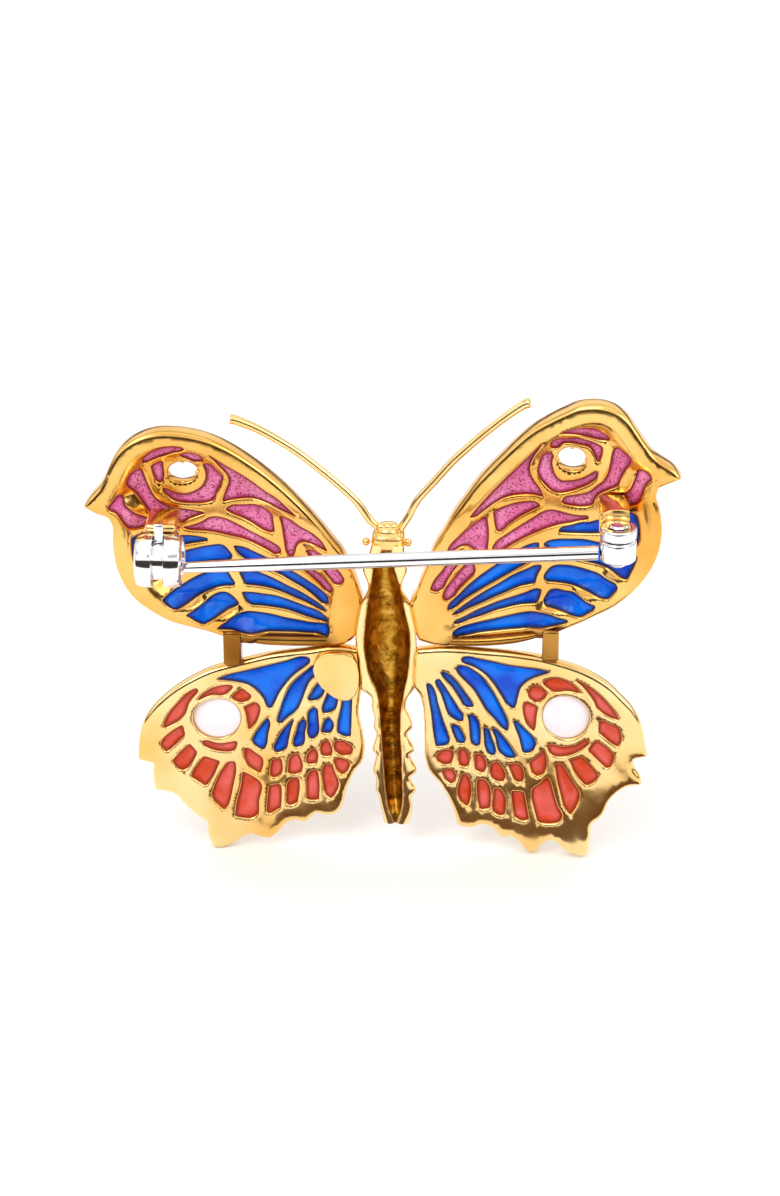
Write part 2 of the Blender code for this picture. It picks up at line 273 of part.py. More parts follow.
LEFT_HIND_CELLS = [
    ("ember_long", [
        (-14.6, -13.1), (-14.45, -13.35), (-15.2, -14.35), (-15.5, -15.25), (-16.1, -15.9), (-17.1, -16.45),
        (-17.2, -16.3), (-16.85, -15.4), (-15.95, -14.2), (-15.0, -13.3)]),
    ("ember_top", [
        (-14.55, -14.25), (-14.45, -14.0), (-13.6, -13.3), (-12.75, -13.0), (-11.9, -13.0),
        (-11.85, -13.2), (-12.65, -13.85), (-13.3, -13.75), (-14.1, -14.0)]),
    ("ember_diamond", [
        (-12.0, -14.05), (-11.2, -13.3), (-10.5, -14.0), (-10.55, -14.15), (-11.25, -14.55), (-11.7, -14.4)]),
    ("ember_petal", [
        (-11.05, -15.0), (-10.15, -14.6), (-9.9, -14.9), (-9.95, -15.65), (-10.25, -16.35),
        (-10.75, -16.95), (-10.8, -16.45), (-10.9, -15.6)]),
    ("ember_boat", [
        (-14.35, -17.8), (-14.15, -17.75), (-13.05, -18.05), (-11.65, -17.9), (-11.75, -18.45),
        (-12.0, -18.75), (-12.85, -18.7), (-13.8, -18.4), (-14.2, -18.1)]),
    ("ember_tile_1", [
        (-15.75, -16.3), (-15.6, -17.2), (-16.45, -18.0), (-17.0, -18.45), (-17.4, -17.75),
        (-17.3, -17.5), (-16.65, -16.85)]),
    ("ember_tile_2", [
        (-15.25, -17.95), (-14.7, -18.75), (-15.7, -20.1), (-15.9, -20.15), (-16.25, -19.85),
        (-16.55, -19.25), (-15.95, -18.6)]),
    ("ember_tile_3", [
        (-14.2, -19.1), (-13.0, -19.6), (-13.9, -21.35), (-14.1, -21.6), (-15.2, -20.7), (-15.1, -20.45)]),
    ("ember_blade", [
        (-12.35, -19.65), (-11.85, -19.65), (-11.8, -20.2), (-12.05, -21.7), (-12.45, -23.3),
        (-12.7, -23.75), (-12.95, -23.5), (-13.6, -22.2), (-13.5, -21.9), (-12.75, -20.2)]),
    ("ember_large", [
        (-11.25, -20.55), (-10.4, -21.1), (-9.95, -21.55), (-10.1, -23.1), (-10.25, -24.25), (-10.45, -24.4),
        (-11.9, -24.35), (-11.7, -23.05), (-11.4, -21.8)]),
    ("ember_shield", [
        (-11.1, -18.5), (-10.9, -18.5), (-10.3, -18.95), (-9.75, -19.45), (-9.75, -20.05), (-9.95, -20.7),
        (-10.6, -20.25), (-11.05, -19.5)]),
    ("ember_upper_1", [
        (-9.0, -19.6), (-8.3, -19.5), (-8.35, -20.75), (-8.7, -21.1), (-9.1, -21.05), (-9.15, -20.6)]),
    ("ember_upper_2", [
        (-7.6, -19.4), (-7.2, -19.1), (-6.95, -19.15), (-6.7, -20.0), (-6.8, -20.6), (-7.1, -20.8),
        (-7.8, -20.75), (-7.75, -20.3)]),
    ("ember_upper_3", [
        (-6.3, -19.2), (-5.85, -18.6), (-5.6, -18.8), (-5.5, -19.4), (-5.6, -19.85), (-6.2, -19.95),
        (-6.4, -19.9), (-6.35, -19.5)]),
    ("ember_upper_4", [
        (-5.2, -18.2), (-4.85, -17.9), (-4.6, -18.0), (-4.4, -18.9), (-4.5, -19.2), (-5.2, -19.2),
        (-5.25, -18.8)]),
    ("ember_upper_5", [
        (-4.15, -17.95), (-3.85, -17.9), (-3.1, -18.1), (-2.8, -18.5), (-2.9, -18.9), (-3.2, -19.05),
        (-3.85, -19.0), (-4.2, -18.6)]),
    ("ember_lower_1", [
        (-9.25, -21.8), (-8.4, -21.7), (-8.35, -22.1), (-8.4, -23.6), (-9.2, -24.15), (-9.45, -24.05),
        (-9.35, -22.8)]),
    ("ember_lower_2", [
        (-7.75, -21.5), (-7.4, -21.2), (-7.0, -21.25), (-6.95, -21.75), (-7.1, -23.15), (-7.6, -23.4),
        (-7.95, -23.3), (-7.9, -22.45)]),
    ("ember_lower_3", [
        (-6.3, -21.0), (-5.9, -20.5), (-5.55, -20.5), (-5.45, -21.2), (-5.45, -22.95), (-6.35, -22.95),
        (-6.35, -22.0)]),
    ("ember_lower_4", [
        (-5.1, -20.3), (-4.95, -19.9), (-4.4, -20.0), (-4.2, -20.6), (-3.9, -21.6), (-4.15, -22.3),
        (-4.5, -22.85), (-4.85, -22.5), (-5.05, -21.6)]),
    ("ember_lower_5", [
        (-4.25, -19.6), (-4.0, -19.35), (-3.3, -19.5), (-3.0, -19.8), (-3.15, -20.2), (-3.55, -20.75),
        (-3.9, -20.5), (-4.1, -20.1)]),
    ("blue_sail", [
        (-13.1, -12.45), (-12.15, -12.05), (-11.2, -11.85), (-10.25, -11.65), (-9.3, -11.4),
        (-7.9, -11.05), (-6.45, -10.65), (-6.05, -10.75), (-6.0, -11.1), (-6.35, -11.45), (-7.1, -12.05),
        (-7.8, -12.85), (-8.4, -13.8), (-8.75, -14.6), (-9.05, -15.15), (-9.2, -15.1), (-9.55, -14.3),
        (-10.1, -13.5), (-10.8, -12.95), (-11.55, -12.7), (-12.4, -12.5)]),
    ("blue_feather", [
        (-6.0, -11.65), (-5.75, -11.4), (-5.5, -11.7), (-5.5, -12.1), (-6.0, -12.7), (-6.4, -13.6),
        (-6.7, -14.5), (-7.15, -15.35), (-7.9, -16.0), (-8.35, -16.5), (-8.6, -16.3), (-8.35, -15.4),
        (-7.95, -14.2), (-7.4, -13.1), (-6.7, -12.3)]),
    ("blue_plume_1", [
        (-5.2, -12.8), (-4.85, -13.3), (-5.05, -13.9), (-5.4, -14.35), (-6.0, -14.5), (-6.25, -14.4),
        (-5.95, -13.9), (-5.6, -13.3)]),
    ("blue_plume_2", [
        (-4.6, -13.65), (-3.95, -14.05), (-3.95, -14.4), (-4.2, -15.2), (-4.6, -15.45), (-5.1, -15.55),
        (-5.1, -15.2), (-4.85, -14.3)]),
    ("blue_plume_3", [
        (-3.55, -14.25), (-2.85, -14.2), (-2.9, -15.5), (-2.95, -17.4), (-3.25, -17.45), (-3.95, -17.2),
        (-3.9, -16.3), (-3.65, -15.0)]),
    ("blue_drop_1", [
        (-4.85, -16.1), (-4.6, -15.9), (-4.3, -16.3), (-4.35, -16.9), (-4.6, -17.25), (-5.25, -17.2),
        (-5.1, -16.8)]),
    ("blue_drop_2", [
        (-6.15, -15.5), (-5.8, -15.1), (-5.5, -15.2), (-5.45, -16.2), (-5.5, -17.4), (-5.75, -17.7),
        (-6.0, -17.85), (-6.2, -17.5), (-6.2, -16.4)]),
    ("blue_drop_3", [
        (-6.8, -16.3), (-6.55, -16.1), (-6.4, -16.3), (-6.5, -17.3), (-6.6, -18.2), (-6.9, -18.45),
        (-7.3, -18.5), (-7.35, -18.3), (-7.1, -17.2)]),
    ("blue_drop_4", [
        (-7.3, -16.1), (-7.55, -16.9), (-7.75, -17.8), (-7.95, -18.6), (-8.3, -18.85), (-8.75, -18.95),
        (-8.85, -18.7), (-8.6, -17.9), (-8.1, -17.0), (-7.65, -16.45)]),
    ("blue_drop_5", [
        (-9.3, -15.95), (-9.15, -16.3), (-9.3, -17.3), (-9.45, -18.3), (-9.65, -18.7), (-10.1, -18.45),
        (-10.5, -17.9), (-10.35, -17.5), (-9.85, -16.7)]),
]


# ---------------------------------------------------------------- right hindwing, (x, z) in mm
RIGHT_HIND_OUTLINE = [
    (2.05, -9.95), (4.0, -9.75), (6.9, -9.8), (9.7, -9.9), (11.6, -10.1), (13.0, -10.4), (14.45, -10.8),
    (15.6, -11.3), (16.75, -12.0), (17.6, -12.8), (18.5, -13.75), (19.0, -14.65), (19.35, -15.95),
    (19.6, -17.3), (19.7, -17.65), (18.65, -18.0), (18.65, -18.6), (19.2, -19.5), (19.35, -20.1),
    (18.1, -20.5), (17.5, -21.05), (16.95, -21.8), (16.4, -23.2), (15.65, -24.1), (15.55, -25.35),
    (15.45, -26.55), (15.0, -26.9), (14.3, -26.75), (13.5, -26.4), (12.9, -25.85), (12.4, -25.65),
    (11.85, -26.2), (11.3, -26.85), (10.95, -26.95), (10.5, -26.6), (9.85, -25.85), (9.3, -25.6),
    (8.8, -25.85), (8.35, -25.4), (7.85, -24.9), (7.2, -24.75), (6.3, -25.1), (5.3, -24.95), (5.05, -23.9),
    (4.45, -22.4), (3.85, -21.35), (3.1, -20.35), (2.8, -19.4), (2.7, -17.6), (2.65, -16.0), (2.5, -14.5),
    (2.2, -13.65), (1.85, -13.2), (1.75, -12.4), (1.8, -11.4), (1.85, -10.5),
]
RIGHT_HIND_CELLS = [
    ("ember_long", [
        (14.1, -11.7), (14.35, -11.8), (15.15, -12.2), (16.0, -12.85), (16.65, -13.55), (17.25, -14.3),
        (17.45, -14.75), (17.1, -14.7), (16.35, -14.4), (15.85, -14.0), (15.5, -13.25), (14.9, -12.45)]),
    ("ember_top", [
        (11.65, -12.2), (12.0, -11.9), (12.75, -11.7), (13.5, -11.9), (13.9, -12.1), (14.3, -12.45),
        (14.6, -12.85), (14.0, -12.75), (13.4, -12.75), (12.6, -12.9), (12.2, -12.75)]),
    ("ember_diamond", [
        (10.55, -13.25), (10.8, -12.75), (11.15, -12.5), (11.65, -12.7), (12.0, -13.15), (11.9, -13.4),
        (11.4, -13.95), (11.0, -13.9), (10.6, -13.45)]),
    ("ember_petal", [
        (10.25, -14.3), (10.35, -14.05), (10.75, -14.1), (11.3, -14.4), (11.2, -15.2), (11.15, -16.05),
        (11.05, -16.5), (10.65, -16.0), (10.3, -15.25)]),
    ("ember_boat", [
        (12.05, -17.6), (12.3, -17.5), (13.05, -17.6), (14.2, -17.4), (14.75, -17.0), (15.05, -16.8),
        (15.3, -17.05), (14.85, -17.55), (14.0, -18.15), (13.05, -18.45), (12.5, -18.35), (12.2, -17.9)]),
    ("ember_tile_1", [
        (16.05, -15.0), (16.7, -15.2), (17.45, -15.5), (17.65, -15.95), (17.6, -16.8), (17.4, -17.05),
        (16.95, -16.8), (16.0, -16.1), (16.0, -15.5)]),
    ("ember_tile_2", [
        (15.25, -17.75), (15.45, -17.3), (15.85, -16.8), (16.6, -17.25), (17.2, -17.75), (17.15, -18.2),
        (16.9, -18.85), (16.6, -19.0), (15.95, -18.4)]),
    ("ember_tile_3", [
        (13.85, -18.7), (14.7, -18.3), (15.25, -18.8), (16.05, -19.65), (15.95, -20.0), (15.2, -20.65),
        (15.0, -20.55), (14.4, -19.85)]),
    ("ember_blade", [
        (12.75, -19.15), (13.2, -19.05), (13.6, -19.7), (14.15, -20.6), (14.65, -21.45), (14.5, -22.25),
        (14.0, -23.35), (13.55, -22.75), (13.25, -21.7), (12.95, -20.45)]),
    ("ember_large", [
        (12.15, -20.25), (12.35, -20.65), (12.65, -21.7), (12.95, -22.7), (13.35, -23.65), (13.2, -23.95),
        (12.45, -24.2), (11.55, -24.2), (11.25, -23.15), (11.0, -21.95), (11.05, -21.45), (11.55, -21.0)]),
    ("ember_shield", [
        (11.85, -17.95), (12.0, -18.5), (12.05, -19.3), (11.8, -20.05), (11.35, -20.3), (11.05, -20.05),
        (10.8, -19.1), (11.35, -18.65)]),
    ("ember_upper_1", [
        (9.15, -19.45), (9.9, -19.35), (10.15, -19.65), (10.35, -20.4), (10.2, -20.9), (9.75, -20.9),
        (9.45, -20.25)]),
    ("ember_upper_2", [
        (7.85, -19.5), (8.3, -19.3), (8.65, -19.7), (8.9, -20.7), (8.7, -21.0), (8.1, -20.85),
        (7.85, -20.5), (7.8, -19.95)]),
    ("ember_upper_3", [
        (6.6, -18.75), (7.0, -18.7), (7.3, -19.05), (7.35, -20.1), (7.15, -20.35), (6.65, -20.05),
        (6.6, -19.4)]),
    ("ember_upper_4", [
        (5.35, -18.4), (5.75, -18.35), (6.05, -18.75), (6.1, -19.6), (5.95, -19.85), (5.4, -19.7),
        (5.35, -19.0)]),
    ("ember_upper_5", [
        (3.6, -19.0), (3.85, -18.65), (4.55, -18.4), (4.85, -18.45), (4.9, -19.05), (4.7, -19.6),
        (4.15, -19.6), (3.75, -19.3)]),
    ("ember_lower_1", [
        (9.45, -21.75), (10.35, -21.75), (10.5, -22.5), (10.8, -24.05), (10.25, -24.15), (9.7, -23.85),
        (9.55, -22.7)]),
    ("ember_lower_2", [
        (8.1, -21.6), (8.6, -21.65), (8.9, -22.2), (8.95, -23.75), (8.5, -23.8), (8.1, -23.5), (8.05, -22.55)]),
    ("ember_lower_3", [
        (6.8, -20.9), (7.35, -20.9), (7.65, -21.35), (7.8, -23.25), (7.05, -23.4), (6.85, -22.4),
        (6.8, -21.4)]),
    ("ember_lower_4", [
        (5.65, -20.4), (6.05, -20.6), (6.2, -21.0), (6.25, -22.5), (6.05, -23.2), (5.7, -22.9),
        (5.3, -22.0), (5.45, -21.15)]),
    ("ember_lower_5", [
        (4.05, -20.2), (4.25, -20.1), (4.8, -20.05), (5.1, -20.4), (5.1, -20.95), (4.8, -21.3),
        (4.45, -21.0)]),
    ("blue_sail", [
        (5.45, -10.6), (5.7, -10.4), (6.8, -10.5), (8.0, -10.7), (9.05, -10.9), (10.15, -11.0),
        (11.2, -11.05), (12.25, -11.2), (11.85, -11.4), (11.1, -11.75), (10.45, -12.2), (10.0, -12.75),
        (9.8, -13.5), (9.65, -14.25), (9.55, -14.65), (9.25, -14.55), (8.65, -13.7), (8.1, -12.8),
        (7.4, -11.9), (6.75, -11.4), (6.15, -11.05), (5.6, -10.9)]),
    ("blue_feather", [
        (5.05, -11.5), (5.4, -11.15), (5.85, -11.2), (6.5, -11.6), (7.1, -12.15), (7.65, -13.0), (8.05, -13.65),
        (8.45, -14.45), (8.85, -15.25), (9.1, -16.1), (9.05, -16.65), (8.8, -16.5), (8.15, -15.75),
        (7.45, -14.95), (7.0, -14.15), (6.5, -13.3), (5.9, -12.6), (5.3, -11.9)]),
    ("blue_plume_1", [
        (3.9, -11.85), (4.15, -11.8), (4.7, -12.15), (5.2, -12.75), (5.7, -13.45), (6.2, -14.2), (6.45, -14.6),
        (6.35, -14.75), (5.85, -14.7), (5.4, -14.0), (4.85, -13.1), (4.25, -12.4)]),
    ("blue_plume_2", [
        (3.5, -12.55), (3.8, -12.4), (4.2, -13.0), (4.75, -13.95), (5.2, -14.75), (5.65, -15.8), (5.55, -16.0),
        (5.1, -15.85), (4.6, -15.4), (4.2, -14.35), (3.9, -13.45), (3.55, -12.75)]),
    ("blue_plume_3", [
        (2.85, -12.85), (3.05, -12.75), (3.35, -13.15), (3.75, -14.6), (4.15, -16.1), (4.45, -17.0),
        (4.6, -17.65), (4.4, -18.0), (3.6, -18.1), (3.45, -17.15), (3.25, -15.3), (3.0, -13.8)]),
    ("blue_drop_1", [
        (4.8, -16.2), (5.2, -16.35), (5.6, -16.95), (5.85, -17.6), (5.7, -17.85), (5.3, -17.8),
        (5.0, -17.2), (4.8, -16.5)]),
    ("blue_drop_2", [
        (6.0, -15.4), (6.35, -15.4), (6.75, -15.85), (6.95, -16.75), (6.95, -17.9), (6.65, -18.1),
        (6.35, -17.8), (6.2, -16.9), (6.1, -15.85)]),
    ("blue_drop_3", [
        (7.25, -16.4), (7.5, -16.5), (7.8, -17.3), (8.15, -18.4), (8.1, -18.75), (7.75, -18.75),
        (7.45, -18.3), (7.3, -17.3)]),
    ("blue_drop_4", [
        (7.85, -16.5), (8.15, -16.45), (8.65, -17.05), (9.15, -17.7), (9.75, -18.75), (9.5, -18.9),
        (8.9, -18.8), (8.4, -18.25), (8.15, -17.2)]),
    ("blue_drop_5", [
        (9.5, -15.75), (9.7, -15.65), (10.35, -16.35), (11.0, -17.0), (11.2, -17.4), (11.15, -17.8),
        (10.7, -18.35), (10.25, -18.35), (9.95, -17.05), (9.55, -15.95)]),
]


# ---------------------------------------------------------------- body, antennae
# (z, left outer, left hollow, right hollow, right outer, depth towards the front)
BODY_STATIONS = [
    (-1.6, -1.3, -0.85, 0.35, 0.85, 1.6), (-3.2, -1.95, -1.2, 0.4, 1.25, 2.2),
    (-4.2, -1.7, -1.15, 0.5, 1.05, 2.3), (-5.2, -1.5, -1.25, 0.75, 0.95, 2.5),
    (-6.1, -1.9, -1.5, 1.05, 1.45, 2.7), (-7.2, -2.08, -1.65, 1.4, 1.68, 2.9),
    (-8.4, -2.2, -1.85, 1.55, 1.85, 3.0), (-9.6, -2.2, -1.93, 1.6, 1.9, 3.0),
    (-10.8, -2.08, -1.75, 1.5, 1.75, 2.9), (-12.0, -1.95, -1.35, 1.4, 1.66, 2.7),
    (-13.1, -1.9, -0.95, 1.15, 1.68, 2.5), (-14.2, -1.3, -0.72, 1.0, 1.4, 2.3),
    (-15.2, -1.15, -0.65, 0.88, 1.5, 2.2), (-16.2, -1.2, -0.6, 0.83, 1.75, 2.3),
    (-17.1, -1.02, -0.52, 0.83, 1.5, 2.1), (-18.3, -1.25, -0.47, 0.9, 1.95, 2.2),
    (-19.2, -1.02, -0.42, 0.92, 1.6, 2.0), (-20.3, -1.22, -0.38, 0.95, 2.1, 2.1),
    (-21.1, -1.0, -0.32, 0.97, 1.65, 1.9), (-21.9, -1.0, -0.25, 0.98, 2.05, 1.9),
    (-22.6, -0.85, -0.15, 0.96, 1.6, 1.7), (-23.4, -0.7, 0.05, 0.85, 1.85, 1.6),
    (-24.1, -0.5, 0.3, 0.65, 1.75, 1.3), (-24.8, -0.3, 0.45, 0.55, 1.5, 0.9),
]
BODY_RIM_Y = -0.3
BODY_WALL = 0.6
HEAD_CENTRE = (-0.12, 0.9, -0.74)
HEAD_RADII = (1.28, 1.25, 0.8)
LEFT_ANTENNA = [(-1.15, 0.0), (-1.8, 0.7), (-3.05, 2.05), (-5.0, 3.7), (-7.0, 5.3), (-9.4, 6.65), (-11.75, 7.95)]
RIGHT_ANTENNA = [(0.85, 0.0), (1.7, 0.9), (2.95, 2.45), (5.1, 4.85), (7.0, 6.65), (9.0, 8.5), (10.6, 9.65)]
ANTENNA_Y = 0.9
ANTENNA_RADIUS = 0.3
ANTENNA_TIP_RADIUS = 0.4

PEARL_SEATS = {"left": ((-13.15, -15.85), (1.82, 1.72)), "right": ((13.5, -15.05), (1.8, 1.85))}
EYELETS = {"left": ((-15.28, 4.35), (1.08, 0.82)), "right": ((13.45, 5.9), (1.06, 0.92))}
SIGNATURE_OUTLINE = [
    (-5.6, -10.9), (-5.3, -10.35), (-4.6, -10.1), (-3.4, -10.05), (-2.7, -10.3), (-2.4, -10.9), (-2.25, -11.8),
    (-2.25, -12.8), (-2.5, -13.6), (-3.0, -14.05), (-3.7, -14.1), (-4.4, -13.65), (-5.1, -13.0), (-5.6, -12.2),
    (-5.75, -11.5),
]
SIGNATURE_BACK_Y = -0.65
SIGNATURE_THICK = 0.45

FORE_PANES = ("rose_sail", "rose_leaf", "rose_fin", "blue_third_outer", "blue_third_inner",
              "blue_fourth_outer", "blue_fourth_inner", "blue_fifth")
HIND_PANES = ("blue_sail", "blue_feather", "blue_plume_3", "ember_large", "ember_blade", "ember_tile_1",
              "ember_tile_2", "ember_tile_3")


def clear_scene():
    for item in list(bpy.data.objects):
        bpy.data.objects.remove(item, do_unlink=True)


def make_material(name, colour, roughness, metallic):
    material = bpy.data.materials.new(name)
    material.use_nodes = True
    shader = material.node_tree.nodes["Principled BSDF"]
    shader.inputs["Base Color"].default_value = colour
    shader.inputs["Roughness"].default_value = roughness
    shader.inputs["Metallic"].default_value = metallic
    return material


def gold(name):
    return make_material(name + "_gold", CAST_GOLD, 0.22, 1.0)


def white_metal(name):
    return make_material(name + "_white_metal", WHITE_METAL, 0.12, 1.0)


def add_object(name, mesh_builder, material, origin=(0.0, 0.0, 0.0)):
    """Make an object from a bmesh in mm, with its origin moved to the given point in mm."""
    for vertex in mesh_builder.verts:
        vertex.co = (vertex.co - Vector(origin)) * MM
    bmesh.ops.triangulate(mesh_builder, faces=mesh_builder.faces)
    bmesh.ops.recalc_face_normals(mesh_builder, faces=mesh_builder.faces)
    mesh = bpy.data.meshes.new(name)
    mesh_builder.to_mesh(mesh)
    mesh_builder.free()
    mesh.materials.append(material)
    thing = bpy.data.objects.new(name, mesh)
    thing.location = Vector(origin) * MM
    bpy.context.scene.collection.objects.link(thing)
    return thing


def shade(thing, degrees=40.0):
    thing.data.shade_smooth()
    thing.data.set_sharp_from_angle(angle=degrees * pi / 180.0)
    return thing


def ease(value):
    value = min(max(value, 0.0), 1.0)
    return value * value * (3.0 - 2.0 * value)


def segment_distance(point, start, end):
    dx, dz = end[0] - start[0], end[1] - start[1]
    along = ((point[0] - start[0]) * dx + (point[1] - start[1]) * dz) / (dx * dx + dz * dz)
    along = min(max(along, 0.0), 1.0)
    return hypot(point[0] - start[0] - along * dx, point[1] - start[1] - along * dz)


def edge_distance(point, line):
    return min(segment_distance(point, a, b) for a, b in zip(line, line[1:]))


def inside(point, loop):
    """Even-odd test for a point in a closed loop."""
    odd = False
    for (ax, az), (bx, bz) in zip(loop, loop[1:] + loop[:1]):
        if (az > point[1]) != (bz > point[1]):
            if point[0] < ax + (point[1] - az) / (bz - az) * (bx - ax):
                odd = not odd
    return odd


def sweep(x):
    return -TIP_SWEEP * (x / HALF_SPAN) ** 2


def fore_surface(rim):
    """Back face of a forewing: swept, and dished inside its raised rim."""
    def back(x, z):
        fade = ease((abs(x) - ROOT_FLAT) / ROOT_BLEND)
        dish = ease((edge_distance((x, z), rim) - FORE_RIM_WIDTH) / FORE_DISH_SLOPE)
        return sweep(x) + FORE_DISH * dish * fade

    def thickness(x, z):
        return PLATE + FORE_RIM_EXTRA * (1.0 - ease(edge_distance((x, z), rim) / FORE_RIM_WIDTH))
    return back, thickness


def hind_surface(outline):
    """Back face of a hindwing: swept, with a shallow dish inside its edge."""
    closed = outline + outline[:1]

    def back(x, z):
        dish = ease((edge_distance((x, z), closed) - HIND_RIM_WIDTH) / HIND_DISH_SLOPE)
        return sweep(x) + HIND_DISH * dish

    def thickness(x, z):
        return PLATE
    return back, thickness


def ellipse(centre, radii, count=20):
    return [(centre[0] + radii[0] * cos(2 * pi * i / count), centre[1] + radii[1] * sin(2 * pi * i / count))
            for i in range(count)]


def plate(outline, holes, back, front):
    """Closed plate between two height functions over an outline with holes."""
    loops = [outline] + holes
    flat = []
    edges = []
    for loop in loops:
        first = len(flat)
        flat += [Vector(point) for point in loop]
        edges += [(first + i, first + (i + 1) % len(loop)) for i in range(len(loop))]
    points, _, faces, _, _, _ = delaunay_2d_cdt(flat, edges, [], 0, 1e-5)
    kept = []
    for face in faces:
        centre = (sum(points[i].x for i in face) / 3.0, sum(points[i].y for i in face) / 3.0)
        if inside(centre, outline) and not any(inside(centre, hole) for hole in holes):
            kept.append(face)
    builder = bmesh.new()
    low = [builder.verts.new((p.x, back(p.x, p.y), p.y)) for p in points]
    high = [builder.verts.new((p.x, front(p.x, p.y), p.y)) for p in points]
    sides = {}
    for face in kept:
        builder.faces.new([low[i] for i in face])
        builder.faces.new([high[i] for i in reversed(face)])
        for a, b in zip(face, face[1:] + face[:1]):
            key = (min(a, b), max(a, b))
            sides[key] = sides.get(key, 0) + 1
    for (a, b), uses in sides.items():
        if uses == 1:
            builder.faces.new([low[a], low[b], high[b], high[a]])
    loose = [v for v in builder.verts if not v.link_faces]
    bmesh.ops.delete(builder, geom=loose, context="VERTS")
    return builder


def signed_area(loop):
    return 0.5 * sum(a[0] * b[1] - b[0] * a[1] for a, b in zip(loop, loop[1:] + loop[:1]))


def shrink(loop, gap):
    """Move every side of a loop inwards by the gap, holding sharp corners back."""
    turn = 1.0 if signed_area(loop) > 0 else -1.0
    result = []
    for before, here, after in zip(loop[-1:] + loop[:-1], loop, loop[1:] + loop[:1]):
        one = Vector((here[0] - before[0], here[1] - before[1])).normalized()
        two = Vector((after[0] - here[0], after[1] - here[1])).normalized()
        normal = Vector((-(one.y + two.y), one.x + two.x)) * turn
        if normal.length < 1e-6:
            normal = Vector((-one.y, one.x)) * turn
        normal.normalize()
        lean = abs(normal.dot(Vector((-one.y, one.x))))
        step = gap / max(lean, 0.35)
        result.append((here[0] + normal.x * step, here[1] + normal.y * step))
    return result


def loft(rings, closed_ends=True):
    """Skin through rings of equal length and close both ends."""
    builder = bmesh.new()
    rows = [[builder.verts.new(point) for point in ring] for ring in rings]
    for row, following in zip(rows, rows[1:]):
        for i in range(len(row)):
            j = (i + 1) % len(row)
            builder.faces.new([row[i], row[j], following[j], following[i]])
    if closed_ends:
        builder.faces.new(list(reversed(rows[0])))
        builder.faces.new(rows[-1])
    return builder


def tube(path, radii, sides=10):
    """Round tube through path points, with rings square to the local direction."""
    rings = []
    for i, point in enumerate(path):
        before = Vector(path[max(i - 1, 0)])
        after = Vector(path[min(i + 1, len(path) - 1)])
        along = (after - before).normalized()
        across = along.cross(Vector((0.0, 1.0, 0.0))).normalized()
        up = along.cross(across)
        rings.append([Vector(point) + radii[i] * (cos(2 * pi * k / sides) * across + sin(2 * pi * k / sides) * up)
                      for k in range(sides)])
    return loft(rings)


def disc(centre, radius, low, high, sides=28):
    """Upright cylinder from low z to high z."""
    return loft([[(centre[0] + radius * cos(2 * pi * k / sides), centre[1] + radius * sin(2 * pi * k / sides), z)
                  for k in range(sides)] for z in (low, high)])


def box(low, high):
    """Axis-aligned block between two corners."""
    return loft([[(low[0], low[1], z), (high[0], low[1], z), (high[0], high[1], z), (low[0], high[1], z)]
                 for z in (low[2], high[2])])


def prism(profile, low_x, high_x):
    """Extrude a (y, z) profile along X."""
    return loft([[(x, y, z) for y, z in profile] for x in (low_x, high_x)])


def cutter(name, builder):
    thing = add_object(name, builder, make_material(name, (0.5, 0.5, 0.5, 1.0), 0.5, 0.0))
    thing.hide_render = True
    thing.display_type = "WIRE"
    return thing


def combine(thing, other, operation):
    modifier = thing.modifiers.new(operation.lower() + "_" + other.name, "BOOLEAN")
    modifier.object = other
    modifier.operation = operation
    modifier.solver = "EXACT"


def build_wing(side, kind, outline, cells, surface, extra_holes, pane_names):
    back, thickness = surface
    holes = [points for _, points in cells] + extra_holes
    name = kind + "_frame_" + side
    add_object(name, plate(outline, holes, back, lambda x, z: back(x, z) + thickness(x, z)), gold(name))
    for cell_name, points in cells:
        if cell_name in pane_names:
            build_pane(side, kind, cell_name, points, back)


def build_pane(side, kind, cell_name, points, back):
    colours = {"rose": ROSE, "blue": ROYAL_BLUE, "ember": EMBER}
    name = "_".join(("pane", kind, side, cell_name))
    builder = plate(shrink(points, FIT_GAP), [], lambda x, z: back(x, z) + PANE_BACK,
                    lambda x, z: back(x, z) + PANE_BACK + PANE_THICK)
    add_object(name, builder, make_material(name, colours[cell_name.split("_")[0]], 0.15, 0.0))


def build_pearl(side, surface):
    """White cabochon, domed on both faces, in its oval seat."""
    back, _ = surface
    centre, radii = PEARL_SEATS[side]
    middle = back(*centre) + 0.5 * PLATE
    rings = []
    for offset, share in ((-0.75, 0.45), (-0.5, 0.85), (-0.15, 1.0), (0.15, 1.0), (0.5, 0.85), (0.75, 0.45)):
        loop = ellipse(centre, ((radii[0] - FIT_GAP) * share, (radii[1] - FIT_GAP) * share), 20)
        rings.append([(x, middle + offset, z) for x, z in loop])
    name = "pearl_cabochon_" + side
    shade(add_object(name, loft(rings), make_material(name, PEARL, 0.2, 0.0)))


def build_wings():
    for side, rim, trail, cells in (("left", LEFT_FORE_RIM, LEFT_FORE_TRAIL, LEFT_FORE_CELLS),
                                    ("right", RIGHT_FORE_RIM, RIGHT_FORE_TRAIL, RIGHT_FORE_CELLS)):
        build_wing(side, "forewing", rim + trail, cells, fore_surface(rim), [ellipse(*EYELETS[side])], FORE_PANES)
    for side, outline, cells in (("left", LEFT_HIND_OUTLINE, LEFT_HIND_CELLS),
                                 ("right", RIGHT_HIND_OUTLINE, RIGHT_HIND_CELLS)):
        surface = hind_surface(outline)
        build_wing(side, "hindwing", outline, cells, surface, [ellipse(*PEARL_SEATS[side])], HIND_PANES)
        build_pearl(side, surface)


